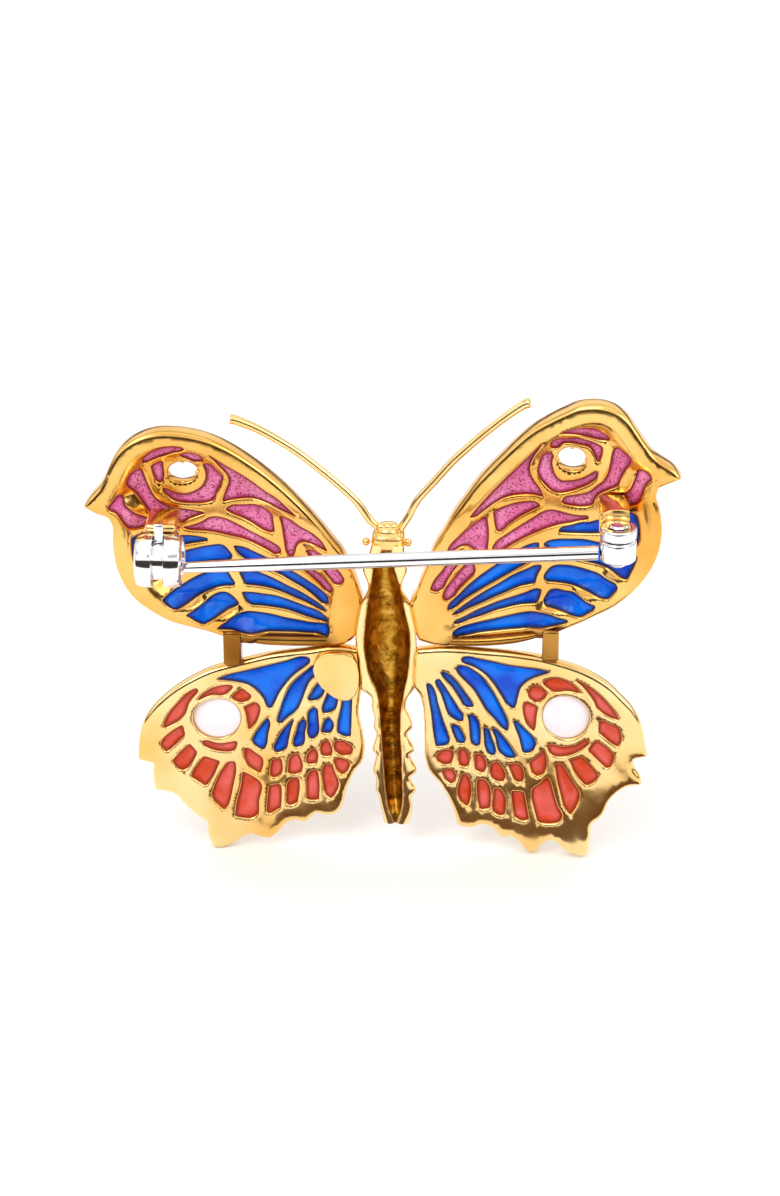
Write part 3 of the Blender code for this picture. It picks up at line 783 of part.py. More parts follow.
def body_ring(station):
    """C-shaped section of the body, open to the back."""
    z, left, left_hollow, right_hollow, right, depth = station
    ring = []
    for half, middle, reach, count, turn in (
            ((right - left) / 2, (right + left) / 2, depth, 10, 1),
            ((right_hollow - left_hollow) / 2, (right_hollow + left_hollow) / 2, depth - BODY_WALL, 8, -1)):
        for k in range(count):
            angle = pi * k / (count - 1)
            ring.append((middle - turn * half * cos(angle), BODY_RIM_Y + reach * sin(angle), z))
    return ring


def build_body():
    shade(add_object("body_shell", loft([body_ring(station) for station in BODY_STATIONS]), gold("body_shell")))
    builder = bmesh.new()
    bmesh.ops.create_uvsphere(builder, u_segments=20, v_segments=10, radius=1.0)
    for vertex in builder.verts:
        vertex.co = Vector(HEAD_CENTRE) + Vector([a * b for a, b in zip(vertex.co, HEAD_RADII)])
    shade(add_object("head", builder, gold("head")))
    for side, x in (("left", -1.75), ("right", 1.38)):
        builder = bmesh.new()
        bmesh.ops.create_uvsphere(builder, u_segments=12, v_segments=6, radius=0.33)
        bmesh.ops.translate(builder, verts=builder.verts, vec=(x, 0.7, -1.35))
        shade(add_object("eye_bead_" + side, builder, gold("eye_bead_" + side)))
    for side, route in (("left", LEFT_ANTENNA), ("right", RIGHT_ANTENNA)):
        path = [(x, sweep(x) + ANTENNA_Y, z) for x, z in route]
        radii = [ANTENNA_RADIUS] * (len(path) - 2) + [ANTENNA_TIP_RADIUS, 0.7 * ANTENNA_TIP_RADIUS]
        shade(add_object("antenna_" + side, tube(path, radii, 8), gold("antenna_" + side)))


def build_struts_and_plate():
    left = [(-1.35, -8.15), (-1.35, -10.95), (0.25, -10.95), (0.25, -9.5), (-0.95, -9.3), (-0.95, -8.15)]
    right = [(-1.4, -7.45), (-1.4, -10.0), (0.2, -10.0), (0.2, -8.75), (-1.0, -8.5), (-1.0, -7.45)]
    add_object("wing_strut_left", prism(left, -12.45, -11.1), gold("wing_strut_left"))
    add_object("wing_strut_right", prism(right, 11.55, 12.8), gold("wing_strut_right"))
    builder = loft([[(x, y, z) for x, z in SIGNATURE_OUTLINE] for y in (SIGNATURE_BACK_Y, SIGNATURE_BACK_Y + SIGNATURE_THICK)])
    add_object("signature_plate", builder, gold("signature_plate"))


def stem_z(x):
    return STEM_MID_Z + STEM_SLOPE * x


def build_hinge():
    centre = (HINGE_X, STEM_Y)
    post = add_object("hinge_post", box((15.5, -4.2, 1.95), (17.7, POST_BASE_Y, 3.5)), gold("hinge_post"))
    hole = RIVET_RADIUS + FIT_GAP
    profile = [(hole, LEAF_LOW_Z), (HINGE_DISC_RADIUS, LEAF_LOW_Z), (HINGE_DISC_RADIUS, LEAF_HIGH_Z),
               (hole, LEAF_HIGH_Z)]
    shade(add_object("hinge_leaf", turned(centre, profile), white_metal("hinge_leaf")))
    seat = cutter("leaf_seat", disc(centre, HINGE_DISC_RADIUS + FIT_GAP, 0.0, 5.0, 48))
    combine(post, seat, "DIFFERENCE")
    profile = [(hole, EYE_LOW_Z), (HINGE_DISC_RADIUS, EYE_LOW_Z), (HINGE_DISC_RADIUS, EYE_HIGH_Z),
               (hole, EYE_HIGH_Z)]
    shade(add_object("stem_eye", turned(centre, profile), white_metal("stem_eye"),
                     origin=(HINGE_X, STEM_Y, EYE_LOW_Z)))
    rings = []
    for z, radius in ((EYE_LOW_Z - 0.4, RIVET_HEAD_RADIUS * 0.8), (EYE_LOW_Z - 0.25, RIVET_HEAD_RADIUS),
                      (EYE_LOW_Z - 0.06, RIVET_HEAD_RADIUS), (EYE_LOW_Z - 0.05, RIVET_RADIUS),
                      (LEAF_HIGH_Z + 0.05, RIVET_RADIUS), (LEAF_HIGH_Z + 0.06, RIVET_HEAD_RADIUS),
                      (LEAF_HIGH_Z + 0.2, RIVET_HEAD_RADIUS * 0.8)):
        rings.append([(HINGE_X + radius * cos(2 * pi * k / 20), STEM_Y + radius * sin(2 * pi * k / 20), z)
                      for k in range(20)])
    shade(add_object("hinge_rivet", loft(rings), white_metal("hinge_rivet")))
    start = HINGE_X - HINGE_DISC_RADIUS - FIT_GAP
    stations = [start, 12.0, 8.0, 4.0, 0.0, -4.0, -8.0, -12.0, -15.5, -16.8, STEM_TIP_X]
    shares = [1.0, 1.0, 1.0, 1.0, 1.0, 1.0, 0.95, 0.85, 0.72, 0.62, 0.4]
    path = [(x, STEM_Y, stem_z(x)) for x in stations]
    shade(add_object("pin_stem", tube(path, [STEM_RADIUS * share for share in shares], 14),
                     white_metal("pin_stem"), origin=(start, STEM_Y, stem_z(start))))


def turned(centre, profile, sides=32):
    """Turn a closed (radius, z) profile about an upright axis."""
    builder = bmesh.new()
    rows = [[builder.verts.new((centre[0] + r * cos(2 * pi * k / sides), centre[1] + r * sin(2 * pi * k / sides), z))
             for r, z in profile] for k in range(sides)]
    for row, following in zip(rows, rows[1:] + rows[:1]):
        for i in range(len(row)):
            j = (i + 1) % len(row)
            builder.faces.new([row[i], row[j], following[j], following[i]])
    return builder


def barrel_cells(filled, stations, radii, corner, sectors=36):
    """Shell along X made of radial, angular and axial cells; filled() says which cells exist."""
    builder = bmesh.new()
    corners = {}
    outside = len(radii) - 1

    def vertex(r, a, x):
        key = (r, a % sectors, x)
        if key not in corners:
            radius = radii[r]
            if r == outside and x in (0, len(stations) - 1):
                radius -= corner
            if r == outside and x in (1, len(stations) - 2):
                radius -= 0.3 * corner
            angle = 2 * pi * a / sectors
            corners[key] = builder.verts.new((CATCH_X + stations[x], STEM_Y + radius * cos(angle),
                                              CATCH_Z + radius * sin(angle)))
        return corners[key]

    def solid(r, a, x):
        return 0 <= r < outside and 0 <= x < len(stations) - 1 and filled(r, a % sectors, x)

    for r in range(outside):
        for a in range(sectors):
            for x in range(len(stations) - 1):
                if not solid(r, a, x):
                    continue
                walls = (
                    ((r - 1, a, x), ((r, a, x), (r, a + 1, x), (r, a + 1, x + 1), (r, a, x + 1))),
                    ((r + 1, a, x), ((r + 1, a, x), (r + 1, a, x + 1), (r + 1, a + 1, x + 1), (r + 1, a + 1, x))),
                    ((r, a - 1, x), ((r, a, x), (r, a, x + 1), (r + 1, a, x + 1), (r + 1, a, x))),
                    ((r, a + 1, x), ((r, a + 1, x), (r + 1, a + 1, x), (r + 1, a + 1, x + 1), (r, a + 1, x + 1))),
                    ((r, a, x - 1), ((r, a, x), (r + 1, a, x), (r + 1, a + 1, x), (r, a + 1, x))),
                    ((r, a, x + 1), ((r, a, x + 1), (r, a + 1, x + 1), (r + 1, a + 1, x + 1), (r + 1, a, x + 1))),
                )
                for neighbour, points in walls:
                    if not solid(*neighbour):
                        builder.faces.new([vertex(*point) for point in points])
    return builder


def build_catch():
    half = 0.5 * BARREL_LENGTH
    slot = 0.5 * LEVER_SLOT
    stations = [-half, -half + 0.2 * BARREL_ROUND, -half + BARREL_ROUND, -slot, slot, half - BARREL_ROUND,
                half - 0.2 * BARREL_ROUND, half]
    radii = [END_HOLE_RADIUS, BORE_RADIUS, BARREL_RADIUS]

    def filled(r, a, x):
        if MOUTH_SECTORS[0] <= a < MOUTH_SECTORS[1]:
            return False
        if x == 3 and SLOT_SECTORS[0] <= a < SLOT_SECTORS[1]:
            return False
        return r == 1 or x == 0
    shade(add_object("catch_shell", barrel_cells(filled, stations, radii, 0.6 * BARREL_ROUND),
                     white_metal("catch_shell")))
    ring = barrel_cells(lambda r, a, x: not MOUTH_SECTORS[0] <= a < MOUTH_SECTORS[1],
                        RING_STATIONS, [RING_INNER, RING_OUTER], 0.0)
    shade(add_object("catch_ring", ring, white_metal("catch_ring"), origin=(CATCH_X, STEM_Y, CATCH_Z)))
    lever = box((CATCH_X - 0.5 * LEVER_WIDTH, STEM_Y - 0.5 * LEVER_THICK, CATCH_Z + RING_OUTER + 0.05),
                (CATCH_X + 0.5 * LEVER_WIDTH, STEM_Y + 0.5 * LEVER_THICK, CATCH_Z + LEVER_REACH))
    add_object("catch_lever", lever, white_metal("catch_lever"), origin=(CATCH_X, STEM_Y, CATCH_Z))
    post = add_object("catch_post", box((-17.75, -4.2, 0.1), (-15.4, POST_BASE_Y, 1.75)), gold("catch_post"))
    seat = [[(x, STEM_Y + (BARREL_RADIUS + FIT_GAP) * cos(2 * pi * k / 48),
              CATCH_Z + (BARREL_RADIUS + FIT_GAP) * sin(2 * pi * k / 48)) for k in range(48)]
            for x in (CATCH_X - half - 1.0, CATCH_X + half + 1.0)]
    combine(post, cutter("post_seat", loft(seat)), "DIFFERENCE")


clear_scene()
build_wings()
build_body()
build_struts_and_plate()
build_hinge()
build_catch()
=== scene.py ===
from math import cos, pi, radians, sin

import bmesh
import bpy
import numpy as np
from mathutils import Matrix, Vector
from mathutils.geometry import delaunay_2d_cdt


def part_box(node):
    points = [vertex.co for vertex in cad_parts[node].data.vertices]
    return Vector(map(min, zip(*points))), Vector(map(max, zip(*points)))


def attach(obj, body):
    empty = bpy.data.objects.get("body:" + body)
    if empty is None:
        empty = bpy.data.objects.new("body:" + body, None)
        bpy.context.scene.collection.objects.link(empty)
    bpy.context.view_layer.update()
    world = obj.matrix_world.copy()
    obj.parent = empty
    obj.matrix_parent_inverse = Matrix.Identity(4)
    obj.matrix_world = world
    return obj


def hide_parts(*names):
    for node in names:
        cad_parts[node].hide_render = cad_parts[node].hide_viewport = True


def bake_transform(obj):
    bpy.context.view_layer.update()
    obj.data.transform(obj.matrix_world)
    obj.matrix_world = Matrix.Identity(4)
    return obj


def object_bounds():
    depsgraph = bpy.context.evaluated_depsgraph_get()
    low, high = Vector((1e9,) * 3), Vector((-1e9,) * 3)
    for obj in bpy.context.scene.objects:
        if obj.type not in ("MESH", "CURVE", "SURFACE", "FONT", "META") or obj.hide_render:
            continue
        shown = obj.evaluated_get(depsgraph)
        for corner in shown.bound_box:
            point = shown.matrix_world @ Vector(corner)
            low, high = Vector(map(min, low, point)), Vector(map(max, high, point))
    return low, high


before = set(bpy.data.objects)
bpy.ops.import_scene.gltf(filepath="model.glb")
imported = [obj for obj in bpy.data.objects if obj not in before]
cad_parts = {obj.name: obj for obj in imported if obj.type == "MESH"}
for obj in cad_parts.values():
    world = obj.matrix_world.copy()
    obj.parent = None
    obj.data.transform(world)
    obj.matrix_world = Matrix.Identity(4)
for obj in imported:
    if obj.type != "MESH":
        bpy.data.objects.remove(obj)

CAD_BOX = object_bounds()

bl_info = {
    "name": "Butterfly Brooch",
    "version": (1, 0, 0),
    "blender": (4, 5, 0),
    "location": "3D View > Sidebar > Brooch",
    "description": "Finishes a pierced enamel butterfly brooch round its solid model",
    "category": "Add Mesh",
}

MM = 0.001
SIDES = ("left", "right")
ROOT_BODY = "brooch_body"

# Wing surface, in mm, the same rule as the solid plates
HALF_SPAN = 22.5
TIP_SWEEP = 2.5
PLATE = 1.1
FORE_DISH, FORE_RIM, FORE_SLOPE, FORE_RIM_EXTRA = 0.9, 1.0, 1.6, 0.7
HIND_DISH, HIND_RIM, HIND_SLOPE = 0.3, 0.3, 3.6
ROOT_FLAT, ROOT_BLEND = 3.0, 2.5
RIM_TOLERANCE = 0.04

# Fine meshing, in mm
LOOP_STEP = 0.14
OFFSETS = (0.05, 0.11, 0.2, 0.36)
WIDE_STEP = 0.42
HOLE_ROUND = 0.17
EDGE_ROUND = 0.38
CORNER_DEGREES = 52.0
OUTLINE_CORNER_DEGREES = 42.0
SOFTEN_DEGREES = 38.0
PANE_DIP, PANE_DIP_WIDTH = 0.14, 0.45
PEARL_INSET, PEARL_DOME = 0.28, 0.42

# Lines that part the enamel colours: (|x|, z) in mm
ROSE_LINE = {
    "left": ((0, -6), (5.6, -5.2), (8.2, -3.2), (11.5, -1.6), (16.2, -0.2), (22, 0.3)),
    "right": ((0, -6), (5.4, -5.4), (8, -3.0), (11.4, -0.8), (15.9, 1.5), (19, 2.5)),
}
EMBER_TOP = -18.2
EMBER_SIDE = {"left": 10.1, "right": 10.55}
EYELETS = {"left": ((-15.28, 4.35), (1.08, 0.82)), "right": ((13.45, 5.9), (1.06, 0.92))}
PEARL_SEATS = {"left": ((-13.15, -15.85), (1.82, 1.72)), "right": ((13.5, -15.05), (1.8, 1.85))}

# (z, left outer, left hollow, right hollow, right outer, depth towards the front), in mm
BODY_STATIONS = (
    (-1.2, -1.3, -0.35, 0.1, 1.15, 1.8),
    (-2.2, -1.55, -0.7, 0.2, 1.15, 2.0),
    (-3.2, -1.95, -1.15, 0.38, 1.35, 2.2),
    (-4.7, -1.55, -1.3, 0.8, 0.95, 2.4),
    (-6.1, -2.1, -1.55, 1.05, 1.6, 2.6),
    (-7.2, -2.35, -1.7, 1.28, 1.85, 2.8),
    (-8.4, -2.5, -1.82, 1.53, 2.05, 2.9),
    (-9.6, -2.5, -1.88, 1.58, 2.1, 2.9),
    (-10.8, -2.35, -1.72, 1.5, 1.95, 2.8),
    (-12.0, -2.25, -1.5, 1.4, 1.9, 2.6),
    (-13.1, -2.2, -1.03, 1.18, 1.9, 2.5),
    (-13.9, -1.35, -0.8, 1.05, 1.42, 2.3),
    (-14.8, -1.3, -0.71, 0.9, 1.3, 2.2),
    (-15.6, -1.1, -0.65, 0.85, 1.62, 2.2),
    (-16.4, -1.15, -0.6, 0.83, 1.78, 2.3),
    (-17.1, -0.95, -0.53, 0.82, 1.4, 2.1),
    (-18.3, -1.22, -0.48, 0.9, 1.92, 2.2),
    (-18.9, -0.98, -0.43, 0.92, 1.62, 2.0),
    (-20.1, -1.2, -0.37, 0.94, 2.12, 2.1),
    (-20.8, -0.98, -0.33, 0.97, 1.65, 1.9),
    (-21.8, -1.0, -0.24, 0.99, 2.06, 1.9),
    (-22.4, -0.8, -0.17, 1.0, 1.72, 1.8),
    (-23.3, -0.62, -0.05, 0.95, 1.8, 1.6),
    (-24.0, -0.48, 0.2, 0.8, 1.72, 1.4),
    (-24.7, -0.36, 0.45, 0.55, 1.5, 1.0),
)
BODY_BACK_Y = -0.45
STEM_Y, STEM_MID_Z, STEM_SLOPE = -5.0, -0.27, 0.0625
ANTENNAE = {
    "left": ((-0.6, -0.75), (-1.0, -0.15), (-1.6, 0.5), (-2.5, 1.85), (-3.95, 3.3), (-5.4, 4.6), (-6.85, 5.8),
             (-8.3, 6.8), (-9.8, 7.7), (-11.2, 8.35), (-11.75, 8.5)),
    "right": ((0.5, -0.9), (0.95, -0.1), (1.45, 0.75), (2.1, 2.05), (3.35, 3.6), (4.65, 5.2), (6.0, 6.6),
              (7.3, 7.85), (8.65, 9.05), (9.8, 9.95), (10.35, 10.2)),
}
ANTENNA_Y = 0.9
ROLL_DEPTH, ROLL_SIDES = 0.32, 16
# (x, y off the swept surface, z, height) along each forewing's lower roll
ROLLS = {
    "left": (
        (-11.4, 0.75, -9.2, 0.5),
        (-9.5, 0.6, -9.42, 0.75),
        (-7.0, 0.55, -9.52, 0.8),
        (-4.8, 0.5, -9.5, 0.75),
        (-3.3, 0.4, -9.3, 0.55),
        (-2.7, 0.35, -9.0, 0.3),
    ),
    "right": (
        (11.6, 0.75, -8.35, 0.5),
        (9.5, 0.6, -8.85, 0.7),
        (7.2, 0.55, -9.2, 0.7),
        (5.0, 0.5, -9.3, 0.6),
        (3.3, 0.4, -9.25, 0.45),
        (2.5, 0.35, -9.05, 0.3),
    ),
}
CAMERA_TARGET = (0.075, 0.0, -5.63)
CAMERA_AZIMUTH, CAMERA_ELEVATION = 3.0, 25.0
CAMERA_DISTANCE = 249.2
CARD_ROUGHNESS = 0.9


# ---------------------------------------------------------------- shader helper
# Painted shade: dark brown laid on the gold over the shaded groove along each forewing's lower edge.
PAINTED_SHADE_BROWN = (0.16, 0.05, 0.006, 1.0)


class Signal:
    """A node socket that can be used in Python expressions."""

    def __init__(self, shader, socket):
        self.shader = shader
        self.socket = socket

    def _math(self, operation, one, two):
        return self.shader.node("ShaderNodeMath", {"operation": operation}, {0: one, 1: two})

    def __add__(self, other):
        return self._math("ADD", self, other)

    __radd__ = __add__

    def __sub__(self, other):
        return self._math("SUBTRACT", self, other)

    def __rsub__(self, other):
        return self._math("SUBTRACT", other, self)

    def __mul__(self, other):
        return self._math("MULTIPLY", self, other)

    __rmul__ = __mul__


class Finish:
    """A Principled material under construction."""

    def __init__(self, name, **constants):
        self.material = bpy.data.materials.new(name)
        self.material.use_nodes = True
        self.tree = self.material.node_tree
        self.shader = self.tree.nodes["Principled BSDF"]
        for socket, value in constants.items():
            self.shader.inputs[socket.replace("_", " ")].default_value = value

    def node(self, kind, settings, inputs, output=0):
        node = self.tree.nodes.new(kind)
        for name, value in settings.items():
            if name == "stops":
                ramp = node.color_ramp
                while len(ramp.elements) < len(value):
                    ramp.elements.new(0.5)
                for element, (place, colour) in zip(ramp.elements, value):
                    element.position = place
                    element.color = colour
            else:
                setattr(node, name, value)
        for key, value in inputs.items():
            if isinstance(value, Signal):
                self.tree.links.new(value.socket, node.inputs[key])
            else:
                node.inputs[key].default_value = value
        return Signal(self, node.outputs[output])

    def place(self):
        coords = self.node("ShaderNodeTexCoord", {}, {}, "Object")
        return self.node("ShaderNodeMapping", {}, {"Vector": coords})

    def noise(self, scale, detail=2.0):
        sockets = {"Vector": self.place(), "Scale": scale, "Detail": detail}
        return self.node("ShaderNodeTexNoise", {}, sockets)

    def attribute(self, name):
        return self.node("ShaderNodeAttribute", {"attribute_name": name}, {}, "Fac")

    def ramp(self, value, stops):
        return self.node("ShaderNodeValToRGB", {"stops": stops}, {0: value})

    def mix(self, factor, one, two):
        return self.node("ShaderNodeMix", {"data_type": "RGBA"}, {0: factor, 6: one, 7: two}, 2)

    def range(self, value, low, high, start, end):
        return self.node("ShaderNodeMapRange", {}, {0: value, 1: low, 2: high, 3: start, 4: end})

    def bump(self, height, strength, distance):
        sockets = {"Height": height, "Strength": strength, "Distance": distance}
        bumped = self.node("ShaderNodeBump", {}, sockets)
        self.connect("Normal", bumped)

    def connect(self, socket, signal):
        self.tree.links.new(signal.socket, self.shader.inputs[socket])


def gold_finish(name, bright, deep, roughness, ripple):
    """Polished cast gold whose tint drifts, with painted brown shade where the edge attribute asks for it,
    and whose surface ripples slightly.
    """
    finish = Finish(name, Metallic=1.0)
    drift = finish.noise(160.0, 2.0)
    tint = finish.mix(finish.range(drift, 0.35, 0.7, 0.0, 1.0), bright, deep)
    # Painted shade: the edge attribute blends the gold towards dark brown.
    finish.connect("Base Color", finish.mix(finish.attribute("edge"), tint, PAINTED_SHADE_BROWN))
    finish.connect("Roughness", finish.range(finish.noise(700.0, 3.0), 0.3, 0.7, roughness, roughness + 0.08))
    finish.bump(finish.noise(420.0, 2.0), ripple, 0.00012)
    return finish.material


def hollow_finish(name, bright, dark):
    """Rough-cast inside of the body: dark amber with bright flecks."""
    finish = Finish(name, Metallic=1.0)
    hollow = finish.attribute("hollow")
    grain = finish.noise(1500.0, 4.0)
    cast = finish.ramp(grain, ((0.3, (0.17, 0.06, 0.004, 1.0)), (0.5, dark), (0.68, (0.75, 0.42, 0.08, 1.0))))
    finish.connect("Base Color", finish.mix(hollow, bright, cast))
    finish.connect("Roughness", finish.range(hollow, 0.0, 1.0, 0.14, 0.3))
    finish.bump(grain * hollow, 0.6, 0.0002)
    return finish.material


def enamel_finish(name, body, glow, wall, speckle, cloud_scale):
    """Glassy enamel, darker against the cell walls, where it runs thicker and where painted wall shadow lies,
    with optional dark specks.
    """
    finish = Finish(name, Metallic=0.0, Coat_Weight=0.12, Coat_Roughness=0.03, Specular_IOR_Level=0.22)
    edge = finish.attribute("edge")
    clouds = finish.range(finish.noise(cloud_scale, 3.0), 0.35, 0.68, 0.0, 1.0)
    colour = finish.mix(clouds, body, glow)
    if speckle > 0.0:
        specks = finish.range(finish.noise(6200.0, 1.0), 0.54, 0.64, 0.0, speckle)
        colour = finish.mix(specks, colour, wall)
    # Darker towards the walls: partly thicker enamel, partly painted shadow of the cell walls.
    near = finish.range(edge, 0.1, 0.62, 1.0, 0.0)
    finish.connect("Base Color", finish.mix(near, colour, wall))
    finish.connect("Roughness", finish.range(finish.noise(900.0, 2.0), 0.3, 0.7, 0.1, 0.22))
    finish.bump(finish.noise(1300.0, 3.0), 0.25, 0.00008)
    return finish.material


def white_metal_finish(name):
    """Polished white metal with a faint drift in its gloss."""
    finish = Finish(name, Metallic=1.0)
    tint = finish.noise(500.0, 2.0)
    finish.connect("Base Color", finish.mix(tint, (0.72, 0.72, 0.73, 1.0), (0.50, 0.50, 0.52, 1.0)))
    finish.connect("Roughness", finish.range(finish.noise(1800.0, 3.0), 0.3, 0.7, 0.05, 0.12))
    return finish.material


def pearl_finish(name):
    """Milky enamel with soft clouds."""
    finish = Finish(name, Metallic=0.0, Coat_Weight=0.3, Coat_Roughness=0.1)
    clouds = finish.range(finish.noise(380.0, 3.0), 0.3, 0.7, 0.0, 1.0)
    finish.connect("Base Color", finish.mix(clouds, (0.93, 0.85, 0.86, 1.0), (0.86, 0.78, 0.82, 1.0)))
    finish.connect("Roughness", finish.range(finish.noise(900.0, 2.0), 0.3, 0.7, 0.25, 0.4))
    return finish.material


# ---------------------------------------------------------------- mesh helpers
def new_piece(name, mesh, material, body, slot, nodes=()):
    """Link a finished mesh, give it its finish and tie it to the frame."""
    thing = bpy.data.objects.new(name, mesh)
    bpy.context.scene.collection.objects.link(thing)
    mesh.materials.clear()
    mesh.materials.append(material)
    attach(thing, body)
    if nodes:
        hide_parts(*nodes)
    return thing


def merged_builder(node):
    builder = bmesh.new()
    builder.from_mesh(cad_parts[node].data)
    bmesh.ops.remove_doubles(builder, verts=builder.verts, dist=1e-6)
    builder.normal_update()
    return builder


def evaluated_mesh(thing, name):
    """Apply a holder object's modifiers into a plain mesh and remove the holder."""
    bpy.context.view_layer.update()
    graph = bpy.context.evaluated_depsgraph_get()
    mesh = bpy.data.meshes.new_from_object(thing.evaluated_get(graph))
    mesh.name = name
    bpy.data.objects.remove(thing)
    return mesh


def holder_for(mesh):
    holder = bpy.data.objects.new("holder", mesh)
    bpy.context.scene.collection.objects.link(holder)
    return holder


def softened_node(node, name, material, body, slot, bevel=0.0, subdivide=0):
    """A copy of a CAD node with eased edges, standing in for the node."""
    builder = merged_builder(node)
    bmesh.ops.dissolve_limit(builder, angle_limit=radians(1.0), verts=builder.verts, edges=builder.edges)
    mesh = bpy.data.meshes.new(name)
    builder.to_mesh(mesh)
    builder.free()
    mesh.shade_smooth()
    mesh.set_sharp_from_angle(angle=radians(SOFTEN_DEGREES))
    holder = holder_for(mesh)
    if bevel:
        modifier = holder.modifiers.new("ease", "BEVEL")
        modifier.width = bevel * MM
        modifier.segments = 3
        modifier.limit_method = "ANGLE"
        modifier.angle_limit = radians(SOFTEN_DEGREES)
        modifier.use_clamp_overlap = True
    if subdivide:
        modifier = holder.modifiers.new("smooth", "SUBSURF")
        modifier.levels = subdivide
        modifier.render_levels = subdivide
    mesh = evaluated_mesh(holder, name)
    mesh.shade_smooth()
    if not subdivide:
        mesh.set_sharp_from_angle(angle=radians(50.0))
    return new_piece(name, mesh, material, body, slot, (node,))


def ease(value):
    value = np.clip(value, 0.0, 1.0)
    return value * value * (3.0 - 2.0 * value)


def sweep(x):
    return -TIP_SWEEP * (x / HALF_SPAN) ** 2


def edge_loops(node):
    """Back-face border loops of a pierced plate: arrays of (x, z, y) in mm, the outline first."""
    builder = merged_builder(node)
    links = {}
    for edge in builder.edges:
        if len(edge.link_faces) != 2:
            continue
        walls = [abs(face.normal.y) < 0.2 for face in edge.link_faces]
        if walls[0] == walls[1]:
            continue
        flat = edge.link_faces[1] if walls[0] else edge.link_faces[0]
        if flat.normal.y < 0.0:
            one, two = edge.verts
            links.setdefault(one, []).append(two)
            links.setdefault(two, []).append(one)
    loops = []
    used = set()
    for start in links:
        if start in used:
            continue
        loop = [start]
        used.add(start)
        here = start
        while True:
            following = [v for v in links[here] if v not in used]
            if not following:
                break
            here = following[0]
            used.add(here)
            loop.append(here)
        loops.append(np.array([(v.co.x, v.co.z, v.co.y) for v in loop]) / MM)
    builder.free()
    loops.sort(key=lambda loop: -abs(area(loop)))
    return loops


def area(loop):
    x, z = loop[:, 0], loop[:, 1]
    return 0.5 * float(np.sum(x * np.roll(z, -1) - np.roll(x, -1) * z))


def flowing(loop, corner=CORNER_DEGREES):
    """Curve a loop through its points, keeping real corners, and resample it evenly."""
    points = loop[:, :2]
    if area(loop) < 0.0:
        points = points[::-1]
    after = np.roll(points, -1, 0) - points
    length = np.linalg.norm(after, axis=1, keepdims=True)
    ahead = after / length
    behind = np.roll(ahead, 1, 0)
    turn = np.degrees(np.arccos(np.clip(np.sum(ahead * behind, 1), -1.0, 1.0)))
    shared = ahead * np.roll(length, 1, 0) + behind * length
    shared /= np.linalg.norm(shared, axis=1, keepdims=True) + 1e-9
    sharp = (turn > corner)[:, None]
    leaving = np.where(sharp, ahead, shared)
    arriving = np.where(sharp, behind, shared)
    result = []
    for i in range(len(points)):
        j = (i + 1) % len(points)
        count = max(int(round(length[i, 0] / LOOP_STEP)), 1)
        t = (np.arange(count) / count)[:, None]
        result.append((2 * t ** 3 - 3 * t ** 2 + 1) * points[i]
                      + (t ** 3 - 2 * t ** 2 + t) * length[i] * leaving[i]
                      + (3 * t ** 2 - 2 * t ** 3) * points[j]
                      + (t ** 3 - t ** 2) * length[i] * arriving[j])
    smooth = np.concatenate(result)
    return 0.5 * smooth + 0.25 * (np.roll(smooth, 1, 0) + np.roll(smooth, -1, 0))


def distance_to(points, loops, closed=True):
    """Distance from each point to the nearest side of the loops."""
    starts, ends = [], []
    for loop in loops:
        starts.append(loop if closed else loop[:-1])
        ends.append(np.roll(loop, -1, 0) if closed else loop[1:])
    a = np.concatenate(starts)
    d = np.concatenate(ends) - a
    square = np.sum(d * d, 1) + 1e-12
    best = np.empty(len(points))
    for low in range(0, len(points), 1500):
        p = points[low:low + 1500, None, :] - a[None]
        t = np.clip(np.sum(p * d[None], 2) / square, 0.0, 1.0)
        best[low:low + 1500] = np.sqrt(np.min(np.sum((p - t[..., None] * d[None]) ** 2, 2), 1))
    return best


def odd_inside(points, loops):
    """True where a point lies inside an odd number of the loops."""
    a = np.concatenate(loops)
    b = np.concatenate([np.roll(loop, -1, 0) for loop in loops])
    rise = np.where(np.abs(b[:, 1] - a[:, 1]) < 1e-12, 1e-12, b[:, 1] - a[:, 1])
    result = np.empty(len(points), bool)
    for low in range(0, len(points), 1500):
        x, z = points[low:low + 1500, :1], points[low:low + 1500, 1:]
        spans = (a[None, :, 1] > z) != (b[None, :, 1] > z)
        cross = a[None, :, 0] + (z - a[None, :, 1]) * (b[:, 0] - a[:, 0]) / rise
        result[low:low + 1500] = np.sum(spans & (x < cross), 1) % 2 == 1
    return result


def thin_out(points, spacing):
    """Drop points that share a small square with an earlier one."""
    cells = np.floor(points / spacing).astype(int)
    _, first = np.unique(cells, axis=0, return_index=True)
    return points[np.sort(first)]


def filling(loops):
    """Points beside the loops and across the wide parts of the area they enclose."""
    chosen = []
    for offset in OFFSETS:
        ring = []
        for loop in loops:
            ahead = np.roll(loop, -1, 0) - np.roll(loop, 1, 0)
            normal = np.stack((-ahead[:, 1], ahead[:, 0]), 1)
            normal /= np.linalg.norm(normal, axis=1, keepdims=True) + 1e-9
            turn = 1.0 if loop is loops[0] else -1.0
            ring.append((loop + turn * offset * normal)[::2 if offset > 0.15 else 1])
        ring = np.concatenate(ring)
        ring = ring[distance_to(ring, loops) > 0.92 * offset]
        chosen.append(thin_out(ring, 0.5 * LOOP_STEP if offset < 0.15 else LOOP_STEP))
    low, high = loops[0].min(0), loops[0].max(0)
    across, up = np.meshgrid(np.arange(low[0], high[0], WIDE_STEP), np.arange(low[1], high[1], WIDE_STEP))
    across[::2] += 0.5 * WIDE_STEP
    wide = np.stack((across.ravel(), up.ravel()), 1)
    wide = wide[distance_to(wide, loops) > OFFSETS[-1] + 0.16]
    points = np.concatenate(chosen + [wide])
    return points[odd_inside(points, loops)]


